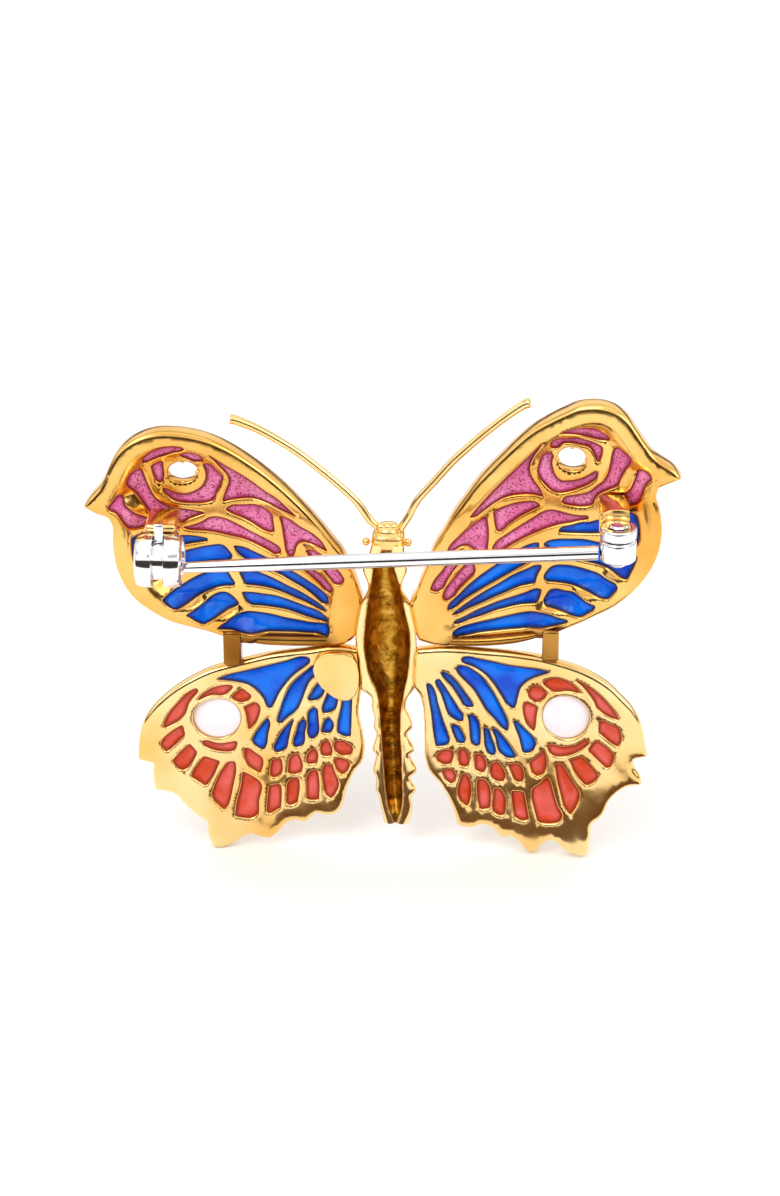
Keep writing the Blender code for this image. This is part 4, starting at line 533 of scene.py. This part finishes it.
def sheet_mesh(name, loops, heights):
    """Closed body over the area inside the loops; heights gives back y, front y and an edge value."""
    extra = filling(loops)
    flat = np.concatenate(loops + [extra])
    edges = []
    first = 0
    for loop in loops:
        edges += [(first + i, first + (i + 1) % len(loop)) for i in range(len(loop))]
        first += len(loop)
    points, _, faces, _, _, _ = delaunay_2d_cdt([Vector(p) for p in flat], edges, [], 0, 1e-5)
    points = np.array([(p.x, p.y) for p in points])
    faces = np.array([face for face in faces if len(face) == 3])
    faces = faces[odd_inside(points[faces].mean(1), loops)]
    back, front, edge = heights(points)
    count = len(points)
    low = np.stack((points[:, 0], back, points[:, 1]), 1)
    high = np.stack((points[:, 0], front, points[:, 1]), 1)
    sides = {}
    for face in faces:
        for a, b in ((face[0], face[1]), (face[1], face[2]), (face[2], face[0])):
            if (b, a) in sides:
                del sides[(b, a)]
            else:
                sides[(a, b)] = True
    walls = [(b, a, a + count, b + count) for a, b in sides]
    polygons = [tuple(f) for f in faces] + [tuple(f[::-1] + count) for f in faces] + walls
    mesh = bpy.data.meshes.new(name)
    mesh.from_pydata((np.concatenate((low, high)) * MM).tolist(), [], [tuple(map(int, p)) for p in polygons])
    builder = bmesh.new()
    builder.from_mesh(mesh)
    layer = builder.verts.layers.float.new("edge")
    for vertex, value in zip(builder.verts, np.concatenate((edge, edge))):
        vertex[layer] = float(value)
    bmesh.ops.delete(builder, geom=[v for v in builder.verts if not v.link_faces], context="VERTS")
    bmesh.ops.recalc_face_normals(builder, faces=builder.faces)
    builder.to_mesh(mesh)
    builder.free()
    mesh.shade_smooth()
    return mesh


def joined(name, meshes):
    """One mesh out of several, keeping their attributes."""
    builder = bmesh.new()
    for mesh in meshes:
        builder.from_mesh(mesh)
    result = bpy.data.meshes.new(name)
    builder.to_mesh(result)
    builder.free()
    result.shade_smooth()
    return result


def rounding(distance, radius):
    """Depth of a quarter-round edge at a distance from the border."""
    share = 1.0 - np.clip(distance / radius, 0.0, 1.0)
    return radius * (1.0 - np.sqrt(np.clip(1.0 - share * share, 0.0, 1.0)))


# ---------------------------------------------------------------- wings
class Wing:
    """Loops and back surface of one pierced wing plate."""

    def __init__(self, kind, side):
        self.kind = kind
        self.side = side
        self.node = kind + "_frame_" + side
        raw = edge_loops(self.node)
        self.rim_sides = None
        if kind == "forewing":
            outline = raw[0]
            level = np.abs(outline[:, 2] - sweep(outline[:, 0])) < RIM_TOLERANCE
            both = level & np.roll(level, -1)
            a, b = outline[:, :2], np.roll(outline[:, :2], -1, 0)
            self.rim_sides = [np.stack((a[i], b[i])) for i in range(len(a)) if both[i]]
            # Sides along the lower edge, where painted shade is laid on the frame.
            self.trail_sides = [np.stack((a[i], b[i])) for i in range(len(a))
                                if not both[i] and max(a[i][1], b[i][1]) < -7.5]
        self.loops = [flowing(raw[0], OUTLINE_CORNER_DEGREES)] + [flowing(loop) for loop in raw[1:]]

    def back(self, points):
        x = points[:, 0]
        if self.kind == "forewing":
            rim = distance_to(points, self.rim_sides, closed=False)
            fade = ease((np.abs(x) - ROOT_FLAT) / ROOT_BLEND)
            return sweep(x) + FORE_DISH * ease((rim - FORE_RIM) / FORE_SLOPE) * fade
        border = distance_to(points, self.loops[:1])
        return sweep(x) + HIND_DISH * ease((border - HIND_RIM) / HIND_SLOPE)

    def thickness(self, points):
        if self.kind != "forewing":
            return np.full(len(points), PLATE)
        rim = distance_to(points, self.rim_sides, closed=False)
        return PLATE + FORE_RIM_EXTRA * (1.0 - ease(rim / FORE_RIM))

    def frame_heights(self, points):
        back = self.back(points)
        outer = rounding(distance_to(points, self.loops[:1]), EDGE_ROUND)
        inner = rounding(distance_to(points, self.loops[1:]), HOLE_ROUND)
        ease_off = np.maximum(outer, inner)
        # Painted shade: a band along the forewing's lower edge, fading out near the body, passed on as the
        # edge value.
        shade = np.zeros(len(points))
        if self.kind == "forewing":
            trail = distance_to(points, self.trail_sides, closed=False)
            shade = 0.9 * (1.0 - ease((trail - 0.45) / 0.5)) * ease((np.abs(points[:, 0]) - 3.4) / 1.5)
        return back + ease_off, back + self.thickness(points) - ease_off, shade

    def colour_of(self, loop):
        x, z = loop.mean(0)
        if self.kind == "hindwing":
            return "blue" if z > EMBER_TOP and abs(x) < EMBER_SIDE[self.side] else "ember"
        line = ROSE_LINE[self.side]
        return "rose" if z > np.interp(abs(x), [p[0] for p in line], [p[1] for p in line]) else "blue"

    def is_seat(self, loop):
        seats = EYELETS if self.kind == "forewing" else PEARL_SEATS
        centre, radii = seats[self.side]
        middle = loop.mean(0)
        return abs(middle[0] - centre[0]) < 0.4 and abs(middle[1] - centre[1]) < 0.4


def pane_mesh(wing, loop, sink):
    """Enamel in one cell: it climbs a little where it meets the wall."""
    def heights(points):
        back = wing.back(points)
        wall = distance_to(points, [loop])
        dip = sink + PANE_DIP * ease(wall / PANE_DIP_WIDTH)
        # The third value, distance from the wall, darkens the enamel there: thicker enamel and painted wall
        # shadow.
        return back + dip, back + PLATE - dip, np.clip(wall / PANE_DIP_WIDTH, 0.0, 1.0)
    return sheet_mesh("cell", [loop], heights)


def wing_panes(wing, finishes, sink):
    groups = {}
    for loop in wing.loops[1:]:
        if not wing.is_seat(loop):
            groups.setdefault(wing.colour_of(loop), []).append(pane_mesh(wing, loop, sink))
    for colour, meshes in sorted(groups.items()):
        name = "enamel_{}_{}_{}".format(colour, wing.kind, wing.side)
        prefix = "pane_{}_{}_{}".format(wing.kind, wing.side, colour)
        nodes = [node for node in sorted(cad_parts) if node.startswith(prefix)]
        new_piece(name, joined(name, meshes), finishes[colour], ROOT_BODY, colour + "_enamel", nodes)


def pearl_mesh(side, wing):
    """Low oval cabochon flush in its seat."""
    centre, radii = PEARL_SEATS[side]
    seat = [loop for loop in wing.loops[1:] if wing.is_seat(loop)][0]

    def heights(points):
        middle = wing.back(np.array([centre]))[0]
        spread = np.hypot((points[:, 0] - centre[0]) / radii[0], (points[:, 1] - centre[1]) / radii[1])
        spread = np.clip(spread, 0, 1)
        dome = PEARL_DOME * np.sqrt(np.clip(1.0 - spread ** 2, 0.0, 1.0))
        edge = np.clip((1.0 - spread) * 4.0, 0.0, 1.0)
        return middle + PEARL_INSET - dome, middle + PLATE - PEARL_INSET + dome, edge
    return sheet_mesh("pearl_" + side, [seat], heights)


# ---------------------------------------------------------------- geometry nodes
def add_input(tree, name, kind):
    return tree.interface.new_socket(name=name, in_out="INPUT", socket_type=kind).identifier


def finish_tree(tree, instances, group_in, material_name):
    """End a tree with Realize Instances and Set Material."""
    solid = tree.nodes.new("GeometryNodeRealizeInstances")
    paint = tree.nodes.new("GeometryNodeSetMaterial")
    out = tree.nodes.new("NodeGroupOutput")
    tree.interface.new_socket(name="Geometry", in_out="OUTPUT", socket_type="NodeSocketGeometry")
    tree.links.new(instances, solid.inputs[0])
    tree.links.new(solid.outputs[0], paint.inputs[0])
    tree.links.new(group_in.outputs[material_name], paint.inputs["Material"])
    tree.links.new(paint.outputs[0], out.inputs[0])


def bead_ring_tree():
    """Beads spaced round an upright oval."""
    tree = bpy.data.node_groups.new("Bead Ring", "GeometryNodeTree")
    ids = {name: add_input(tree, name, kind) for name, kind in (
        ("Centre", "NodeSocketVector"), ("Oval", "NodeSocketVector"), ("Count", "NodeSocketInt"),
        ("Bead", "NodeSocketVector"), ("Material", "NodeSocketMaterial"))}
    source = tree.nodes.new("NodeGroupInput")
    circle = tree.nodes.new("GeometryNodeMeshCircle")
    circle.inputs["Radius"].default_value = 1.0
    oval = tree.nodes.new("GeometryNodeTransform")
    oval.inputs["Rotation"].default_value = (pi / 2, 0.0, 0.0)
    ball = tree.nodes.new("GeometryNodeMeshUVSphere")
    ball.inputs["Segments"].default_value = 16
    ball.inputs["Rings"].default_value = 10
    ball.inputs["Radius"].default_value = 1.0
    spread = tree.nodes.new("GeometryNodeInstanceOnPoints")
    tree.links.new(source.outputs["Count"], circle.inputs["Vertices"])
    tree.links.new(circle.outputs[0], oval.inputs["Geometry"])
    tree.links.new(source.outputs["Centre"], oval.inputs["Translation"])
    tree.links.new(source.outputs["Oval"], oval.inputs["Scale"])
    tree.links.new(oval.outputs[0], spread.inputs["Points"])
    tree.links.new(ball.outputs[0], spread.inputs["Instance"])
    tree.links.new(source.outputs["Bead"], spread.inputs["Scale"])
    finish_tree(tree, spread.outputs[0], source, "Material")
    return tree, ids


def bead_row_tree():
    """Flattened beads in a straight row, as on a ribbed roll."""
    tree = bpy.data.node_groups.new("Bead Row", "GeometryNodeTree")
    ids = {name: add_input(tree, name, kind) for name, kind in (
        ("Start", "NodeSocketVector"), ("Step", "NodeSocketVector"), ("Count", "NodeSocketInt"),
        ("Bead", "NodeSocketVector"), ("Material", "NodeSocketMaterial"))}
    source = tree.nodes.new("NodeGroupInput")
    row = tree.nodes.new("GeometryNodeMeshLine")
    row.mode = "OFFSET"
    ball = tree.nodes.new("GeometryNodeMeshUVSphere")
    ball.inputs["Segments"].default_value = 20
    ball.inputs["Rings"].default_value = 12
    ball.inputs["Radius"].default_value = 1.0
    spread = tree.nodes.new("GeometryNodeInstanceOnPoints")
    tree.links.new(source.outputs["Count"], row.inputs["Count"])
    tree.links.new(source.outputs["Start"], row.inputs["Start Location"])
    tree.links.new(source.outputs["Step"], row.inputs["Offset"])
    tree.links.new(row.outputs[0], spread.inputs["Points"])
    tree.links.new(ball.outputs[0], spread.inputs["Instance"])
    tree.links.new(source.outputs["Bead"], spread.inputs["Scale"])
    finish_tree(tree, spread.outputs[0], source, "Material")
    return tree, ids


def grown(name, made, values, body, slot):
    """Run a tree with the given inputs and keep its result as a plain piece."""
    tree, ids = made
    holder = holder_for(bpy.data.meshes.new(name + "_seed"))
    modifier = holder.modifiers.new("grow", "NODES")
    modifier.node_group = tree
    for key, value in values.items():
        modifier[ids[key]] = value
    mesh = evaluated_mesh(holder, name)
    mesh.shade_smooth()
    return new_piece(name, mesh, values["Material"], body, slot)


def metres(*values):
    return tuple(value * MM for value in values)


# ---------------------------------------------------------------- settings
class BroochSettings(bpy.types.PropertyGroup):
    gold_bright: bpy.props.FloatVectorProperty(
        name="Bright gold", description="Tint of the polished gold", subtype="COLOR", size=4,
        default=(1.0, 0.74, 0.35, 1.0), min=0.0, max=1.0)
    gold_deep: bpy.props.FloatVectorProperty(
        name="Deep gold", description="Second tint that the gold drifts to", subtype="COLOR", size=4,
        default=(0.92, 0.55, 0.16, 1.0), min=0.0, max=1.0)
    rose: bpy.props.FloatVectorProperty(
        name="Rose enamel", description="Main colour of the rose cells", subtype="COLOR", size=4,
        default=(0.72, 0.135, 0.34, 1.0), min=0.0, max=1.0)
    blue: bpy.props.FloatVectorProperty(
        name="Blue enamel", description="Main colour of the blue cells", subtype="COLOR", size=4,
        default=(0.0, 0.062, 0.60, 1.0), min=0.0, max=1.0)
    ember: bpy.props.FloatVectorProperty(
        name="Ember enamel", description="Main colour of the orange-red cells", subtype="COLOR", size=4,
        default=(0.62, 0.055, 0.012, 1.0), min=0.0, max=1.0)
    pane_sink: bpy.props.FloatProperty(
        name="Pane depth", description="How far enamel lies below the plate at the cell walls",
        default=0.2 * MM, unit="LENGTH", min=0.0, max=0.5 * MM, precision=5)
    stem_radius: bpy.props.FloatProperty(
        name="Stem radius", description="Radius of the pin stem's wire", default=0.55 * MM, unit="LENGTH",
        min=0.3 * MM, max=0.8 * MM, precision=5)
    light_strength: bpy.props.FloatProperty(
        name="Surround light", description="Brightness of the studio surround",
        default=1.22, min=0.0, max=5.0)


def settings():
    return bpy.context.scene.brooch_settings


def gold_material(kind="plate"):
    """Shared polished gold for one kind of piece; the forewings get a deeper orange copy as painted
    reflection.
    """
    name = "gold_" + kind
    if name in bpy.data.materials:
        return bpy.data.materials[name]
    bright, deep = tuple(settings().gold_bright), tuple(settings().gold_deep)
    # Painted reflection: a deeper orange forewing gold stands in for the gold that the concave field mirrors.
    if kind == "forewing":
        bright = (0.93, 0.58, 0.18, 1.0)
        deep = (0.76, 0.38, 0.07, 1.0)
    return gold_finish(name, bright, deep, 0.13, 0.35)


def white_metal_material():
    return bpy.data.materials.get("white_metal") or white_metal_finish("white_metal")


# ---------------------------------------------------------------- operators
class BROOCH_OT_wings(bpy.types.Operator):
    """Make the four pierced wings with their enamel and cabochons"""
    bl_idname = "brooch.wings"
    bl_label = "Make wings"

    def execute(self, context):
        values = settings()
        # Each enamel's third colour is its dark tone, used for specks and at the walls, where it is partly
        # painted wall shadow.
        finishes = {
            "rose": enamel_finish("rose_enamel", tuple(values.rose), (0.86, 0.27, 0.50, 1.0),
                                  (0.22, 0.008, 0.03, 1.0), 0.8, 600.0),
            "blue": enamel_finish("blue_enamel", tuple(values.blue), (0.0, 0.19, 0.92, 1.0),
                                  (0.002, 0.01, 0.12, 1.0), 0.0, 420.0),
            "ember": enamel_finish("ember_enamel", tuple(values.ember), (0.76, 0.13, 0.11, 1.0),
                                   (0.28, 0.03, 0.005, 1.0), 0.0, 520.0),
        }
        pearl = pearl_finish("pearl_enamel")
        for kind in ("forewing", "hindwing"):
            for side in SIDES:
                wing = Wing(kind, side)
                name = kind + "_" + side
                mesh = sheet_mesh(name, wing.loops, wing.frame_heights)
                new_piece(name, mesh, gold_material(kind), ROOT_BODY, "cast_gold", (wing.node,))
                wing_panes(wing, finishes, values.pane_sink / MM)
                if kind == "hindwing":
                    name = "pearl_" + side
                    new_piece(name, pearl_mesh(side, wing), pearl, ROOT_BODY, "pearl_enamel",
                              ("pearl_cabochon_" + side,))
        return {"FINISHED"}


def lofted(name, rings, values=None):
    """Skin through rings of equal length, closed at both ends, with an optional value for each ring point."""
    builder = bmesh.new()
    layer = builder.verts.layers.float.new("hollow") if values else None
    rows = [[builder.verts.new(metres(*point)) for point in ring] for ring in rings]
    for row in rows:
        for vertex, value in zip(row, values or ()):
            vertex[layer] = value
    for row, following in zip(rows, rows[1:]):
        for i in range(len(row)):
            j = (i + 1) % len(row)
            builder.faces.new((row[i], row[j], following[j], following[i]))
    builder.faces.new(rows[0])
    builder.faces.new(rows[-1])
    bmesh.ops.recalc_face_normals(builder, faces=builder.faces)
    mesh = bpy.data.meshes.new(name)
    builder.to_mesh(mesh)
    builder.free()
    mesh.shade_smooth()
    mesh.set_sharp_from_angle(angle=radians(75.0))
    return mesh


def smoothed_rows(table, count):
    """Rows of a table curved smoothly through its stations."""
    table = np.array(table, float)
    t = np.linspace(0.0, len(table) - 1.0, count)
    i = np.minimum(t.astype(int), len(table) - 2)
    f = (t - i)[:, None]
    p0, p1, p2, p3 = (table[np.clip(i + k, 0, len(table) - 1)] for k in (-1, 0, 1, 2))
    return 0.5 * (2 * p1 + (p2 - p0) * f + (2 * p0 - 5 * p1 + 4 * p2 - p3) * f ** 2
                  + (3 * p1 - p0 - 3 * p2 + p3) * f ** 3)


def body_mesh():
    """Open-backed body with a rounded rim round its hollow."""
    rings = []
    outer_count, inner_count = 18, 16
    for z, left, left_in, right_in, right, depth in smoothed_rows(BODY_STATIONS, 150):
        ring = []
        middle, half = (left + right) / 2, (right - left) / 2
        for k in range(outer_count):
            angle = pi * k / (outer_count - 1)
            ring.append((middle - half * cos(angle), BODY_BACK_Y + 0.25 + (depth - 0.1) * sin(angle), z))
        for share in (0.2, 0.5, 0.8):
            ring.append((right + (right_in - right) * share, BODY_BACK_Y + 0.25 - 0.25 * sin(pi * share), z))
        middle, half = (left_in + right_in) / 2, (right_in - left_in) / 2
        ends = min(max((-1.6 - z) / 1.6, 0.0), 1.0) * min(max((z + 24.2) / 1.2, 0.0), 1.0)
        reach = max((depth - 0.7) * ends, 0.05)
        for k in range(inner_count):
            angle = pi * k / (inner_count - 1)
            ring.append((middle + half * cos(angle), BODY_BACK_Y + 0.25 + reach * sin(angle), z))
        for share in (0.8, 0.5, 0.2):
            ring.append((left + (left_in - left) * share, BODY_BACK_Y + 0.25 - 0.25 * sin(pi * share), z))
        rings.append(ring)
    values = [0.0] * (outer_count + 3) + [0.6] + [1.0] * (inner_count - 2) + [0.6] + [0.0] * 3
    return lofted("body", rings, values)


def antenna_mesh(side):
    """Tapered wire that thickens to a rounded tip."""
    rows = smoothed_rows([(x, sweep(x) + ANTENNA_Y, z) for x, z in ANTENNAE[side]], 90)
    rings = []
    sides = 16
    for i, point in enumerate(rows):
        along = Vector(rows[min(i + 1, len(rows) - 1)] - rows[max(i - 1, 0)]).normalized()
        across = along.cross(Vector((0.0, 1.0, 0.0))).normalized()
        up = along.cross(across)
        share = i / (len(rows) - 1)
        radius = 0.3 + 0.11 * max(0.0, (share - 0.72) / 0.28) ** 1.5
        if share > 0.965:
            radius *= max(0.04, 1.0 - ((share - 0.965) / 0.035) ** 2) ** 0.5
        turns = [2 * pi * k / sides for k in range(sides)]
        rings.append([Vector(point) + radius * (cos(turn) * across + sin(turn) * up) for turn in turns])
    return lofted("antenna_" + side, rings)


def roll_mesh(side):
    """Rolled lower rim that hangs below a forewing's last cells."""
    rows = smoothed_rows(ROLLS[side], 60)
    rings = []
    for i, (x, y, z, high) in enumerate(rows):
        share = i / (len(rows) - 1)
        swell = max(0.08, 1.0 - (2.0 * share - 1.0) ** 8) ** 0.5
        deep = ROLL_DEPTH * swell
        tall = 0.5 * high * swell
        rings.append([(x, sweep(x) + y + deep * cos(2 * pi * k / ROLL_SIDES),
                       z + tall * sin(2 * pi * k / ROLL_SIDES)) for k in range(ROLL_SIDES)])
    return lofted("roll_" + side, rings)


def rounded_block(name, centre, radii, power):
    """Ball squared off towards a block."""
    builder = bmesh.new()
    bmesh.ops.create_uvsphere(builder, u_segments=48, v_segments=32, radius=1.0)
    for vertex in builder.verts:
        size = sum(abs(c) ** power for c in vertex.co) ** (1.0 / power)
        vertex.co = Vector([(m + c / size * r) * MM for m, c, r in zip(centre, vertex.co, radii)])
    bmesh.ops.recalc_face_normals(builder, faces=builder.faces)
    mesh = bpy.data.meshes.new(name)
    builder.to_mesh(mesh)
    builder.free()
    mesh.shade_smooth()
    return mesh


class BROOCH_OT_body(bpy.types.Operator):
    """Make the body, head, antennae, struts and plate"""
    bl_idname = "brooch.body"
    bl_label = "Make body"

    def execute(self, context):
        shell = hollow_finish("gold_body", tuple(settings().gold_bright), (0.52, 0.25, 0.022, 1.0))
        new_piece("body", body_mesh(), shell, ROOT_BODY, "cast_gold", ("body_shell",))
        gold = gold_material()
        # Painted shade: a darker brown copy of the gold for the rolled lower rims and the struts.
        brown = gold_finish("gold_painted_shade", (0.50, 0.25, 0.05, 1.0), (0.24, 0.09, 0.012, 1.0), 0.16, 0.4)
        block = rounded_block("head_block", (-0.08, 0.85, -1.15), (1.28, 1.2, 0.8), 3.2)
        new_piece("head_block", block, gold, ROOT_BODY, "cast_gold", ("head",))
        dome = rounded_block("head_dome", (-0.12, 0.85, -0.45), (0.95, 1.0, 0.62), 2.2)
        new_piece("head_dome", dome, gold, ROOT_BODY, "cast_gold")
        for side in SIDES:
            softened_node("eye_bead_" + side, "eye_" + side, gold, ROOT_BODY, "cast_gold", subdivide=1)
            new_piece("feeler_" + side, antenna_mesh(side), gold, ROOT_BODY, "cast_gold",
                      ("antenna_" + side,))
            # The struts take the painted-shade brown gold.
            softened_node("wing_strut_" + side, "strut_" + side, brown, ROOT_BODY, "cast_gold", bevel=0.3)
        softened_node("signature_plate", "blank_plate", gold_material("oval"), ROOT_BODY, "cast_gold",
                      bevel=0.1)
        for side in SIDES:
            # The rolls take the painted-shade brown gold.
            new_piece("roll_" + side, roll_mesh(side), brown, ROOT_BODY, "cast_gold")
        beads = bead_ring_tree()
        for side in SIDES:
            centre, radii = EYELETS[side]
            back = sweep(centre[0]) + FORE_DISH
            grown("eyelet_prongs_" + side, beads,
                  {"Centre": metres(centre[0], back + 0.12, centre[1]),
                   "Oval": metres(radii[0] + 0.02, radii[1] + 0.02, 1.0), "Count": 4,
                   "Bead": metres(0.17, 0.13, 0.17), "Material": gold}, ROOT_BODY, "cast_gold")
        row = bead_row_tree()
        grown("crown_beads", row,
              {"Start": metres(-0.62, 0.45, 0.0), "Step": metres(0.5, 0.0, 0.0), "Count": 3,
               "Bead": metres(0.3, 0.34, 0.3), "Material": gold}, ROOT_BODY, "cast_gold")
        return {"FINISHED"}


def stem_mesh(radius):
    """Tapered wire from the eye to the tip."""
    low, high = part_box("pin_stem")
    start, end = high.x - 0.05 * MM, low.x
    count, sides = 72, 24
    builder = bmesh.new()
    rows = []
    for i in range(count + 1):
        share = i / count
        x = start + (end - start) * share
        z = (STEM_MID_Z + STEM_SLOPE * x / MM) * MM
        taper = radius * (1.0 - 0.34 * max(0.0, (share - 0.6) / 0.4) ** 1.3)
        if share > 0.97:
            taper *= max(0.0625, 1.0 - min((share - 0.97) / 0.03, 1.0) ** 2) ** 0.5
        rows.append([builder.verts.new((x, STEM_Y * MM + taper * cos(2 * pi * k / sides),
                                        z + taper * sin(2 * pi * k / sides))) for k in range(sides)])
    for row, following in zip(rows, rows[1:]):
        for k in range(sides):
            j = (k + 1) % sides
            builder.faces.new((row[k], row[j], following[j], following[k]))
    builder.faces.new(rows[0])
    builder.faces.new(rows[-1])
    bmesh.ops.recalc_face_normals(builder, faces=builder.faces)
    mesh = bpy.data.meshes.new("stem")
    builder.to_mesh(mesh)
    builder.free()
    mesh.shade_smooth()
    mesh.set_sharp_from_angle(angle=radians(60.0))
    return mesh


class BROOCH_OT_findings(bpy.types.Operator):
    """Make the pin stem, hinge and turning catch"""
    bl_idname = "brooch.findings"
    bl_label = "Make findings"

    def execute(self, context):
        metal = white_metal_material()
        softened_node("catch_shell", "catch_barrel", metal, ROOT_BODY, "white_metal", bevel=0.14)
        softened_node("catch_ring", "catch_lever", metal, "catch_lock_body", "white_metal", bevel=0.05)
        softened_node("catch_lever", "lever_tab", metal, "catch_lock_body", "white_metal", bevel=0.1)
        softened_node("hinge_leaf", "leaf", metal, ROOT_BODY, "white_metal", bevel=0.15)
        softened_node("hinge_rivet", "rivet", metal, ROOT_BODY, "white_metal", bevel=0.02)
        softened_node("stem_eye", "eye_disc", metal, "eye_body", "white_metal", bevel=0.2)
        gold = gold_material()
        softened_node("hinge_post", "hinge_block", gold, ROOT_BODY, "cast_gold", bevel=0.3)
        softened_node("catch_post", "catch_block", gold, ROOT_BODY, "cast_gold", bevel=0.3)
        stem = bpy.data.objects.new("stem", stem_mesh(settings().stem_radius))
        bpy.context.scene.collection.objects.link(stem)
        stem.data.materials.append(metal)
        low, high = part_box("pin_stem")
        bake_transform(stem)
        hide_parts("pin_stem")
        return {"FINISHED"}


def plain_card(name, corners, colour, camera_sees):
    mesh = bpy.data.meshes.new(name)
    mesh.from_pydata([metres(*corner) for corner in corners], [], [(0, 1, 2, 3)])
    card = bpy.data.objects.new(name, mesh)
    bpy.context.scene.collection.objects.link(card)
    finish = Finish(name + "_surface", Base_Color=colour, Roughness=CARD_ROUGHNESS)
    mesh.materials.append(finish.material)
    if not camera_sees:
        card.visible_camera = False
        card.visible_diffuse = False
        card.visible_shadow = False
    return card


def studio_surround(strength):
    """Bright surround with a dark band low behind the camera for the metal to mirror."""
    world = bpy.data.worlds.new("studio")
    bpy.context.scene.world = world
    world.use_nodes = True
    tree = world.node_tree
    back = tree.nodes["Background"]
    coords = tree.nodes.new("ShaderNodeTexCoord")
    split = tree.nodes.new("ShaderNodeSeparateXYZ")
    ramp = tree.nodes.new("ShaderNodeValToRGB")
    span = tree.nodes.new("ShaderNodeMapRange")
    stops = ((0.0, (0.95, 0.95, 0.95, 1.0)), (0.46, (0.92, 0.92, 0.92, 1.0)), (0.5, (0.10, 0.07, 0.05, 1.0)),
             (0.56, (0.12, 0.09, 0.07, 1.0)), (0.62, (0.95, 0.94, 0.92, 1.0)), (0.78, (1.0, 1.0, 1.0, 1.0)),
             (0.84, (0.35, 0.33, 0.31, 1.0)), (0.9, (1.0, 1.0, 1.0, 1.0)))
    while len(ramp.color_ramp.elements) < len(stops):
        ramp.color_ramp.elements.new(0.5)
    for element, (place, colour) in zip(ramp.color_ramp.elements, stops):
        element.position = place
        element.color = colour
    span.inputs["From Min"].default_value = -1.0
    tree.links.new(coords.outputs["Generated"], split.inputs[0])
    tree.links.new(split.outputs["Z"], span.inputs["Value"])
    tree.links.new(span.outputs[0], ramp.inputs[0])
    tree.links.new(ramp.outputs[0], back.inputs["Color"])
    back.inputs["Strength"].default_value = strength


def soft_light(name, place, size, energy):
    light = bpy.data.lights.new(name, "AREA")
    light.shape = "RECTANGLE"
    light.size, light.size_y = size[0] * MM, size[1] * MM
    light.energy = energy
    lamp = bpy.data.objects.new(name, light)
    bpy.context.scene.collection.objects.link(lamp)
    lamp.location = metres(*place)
    target = Vector(metres(0.0, 0.0, -8.0))
    lamp.rotation_euler = (target - lamp.location).to_track_quat("-Z", "Y").to_euler()


class BROOCH_OT_stage(bpy.types.Operator):
    """Make the floor, lights and camera"""
    bl_idname = "brooch.stage"
    bl_label = "Make stage"

    def execute(self, context):
        floor_z = CAD_BOX[0][2] / MM
        reach = 1500.0
        plain_card("floor", ((-reach, -reach, floor_z), (reach, -reach, floor_z), (reach, reach, floor_z),
                             (-reach, reach, floor_z)), (0.96, 0.96, 0.96, 1.0), True)
        low = floor_z + 0.05
        plain_card("brown_card",
                   ((-9.0, -13.0, low), (26.0, -16.0, low), (26.0, -4.2, low), (-9.0, -3.4, low)),
                   (0.10, 0.045, 0.01, 1.0), False)
        plain_card("dark_card",
                   ((-90.0, -60.0, -8.0), (90.0, -60.0, -8.0), (90.0, -60.0, 24.0), (-90.0, -60.0, 24.0)),
                   (0.03, 0.02, 0.015, 1.0), False)
        studio_surround(settings().light_strength)
        soft_light("key", (-160.0, -260.0, 320.0), (220.0, 220.0), 0.55)
        soft_light("fill", (240.0, -160.0, 180.0), (160.0, 160.0), 0.2)
        camera_data = bpy.data.cameras.new("camera")
        camera_data.lens = 100.0
        camera_data.sensor_width = 36.0
        camera_data.clip_start = 0.001
        camera = bpy.data.objects.new("camera", camera_data)
        context.scene.collection.objects.link(camera)
        azimuth, elevation = radians(CAMERA_AZIMUTH), radians(CAMERA_ELEVATION)
        back = Vector((sin(azimuth) * cos(elevation), -cos(azimuth) * cos(elevation), sin(elevation)))
        target = Vector(metres(*CAMERA_TARGET))
        camera.location = target + back * CAMERA_DISTANCE * MM
        camera.rotation_euler = (-back).to_track_quat("-Z", "Y").to_euler()
        context.scene.camera = camera
        context.scene.view_settings.view_transform = "Standard"
        return {"FINISHED"}


class BROOCH_PT_panel(bpy.types.Panel):
    """Lists the brooch's settings and steps"""
    bl_idname = "BROOCH_PT_panel"
    bl_label = "Brooch"
    bl_space_type = "VIEW_3D"
    bl_region_type = "UI"
    bl_category = "Brooch"

    def draw(self, context):
        for name in BroochSettings.__annotations__:
            self.layout.prop(context.scene.brooch_settings, name)
        for operator in OPERATORS:
            self.layout.operator(operator.bl_idname)


OPERATORS = (BROOCH_OT_wings, BROOCH_OT_body, BROOCH_OT_findings, BROOCH_OT_stage)
CLASSES = (BroochSettings,) + OPERATORS + (BROOCH_PT_panel,)


def register():
    for item in CLASSES:
        bpy.utils.register_class(item)
    bpy.types.Scene.brooch_settings = bpy.props.PointerProperty(type=BroochSettings)


def unregister():
    del bpy.types.Scene.brooch_settings
    for item in reversed(CLASSES):
        bpy.utils.unregister_class(item)


def main():
    register()
    bpy.ops.brooch.stage()
    bpy.ops.brooch.wings()
    bpy.ops.brooch.body()
    bpy.ops.brooch.findings()


if __name__ == "__main__":
    main()
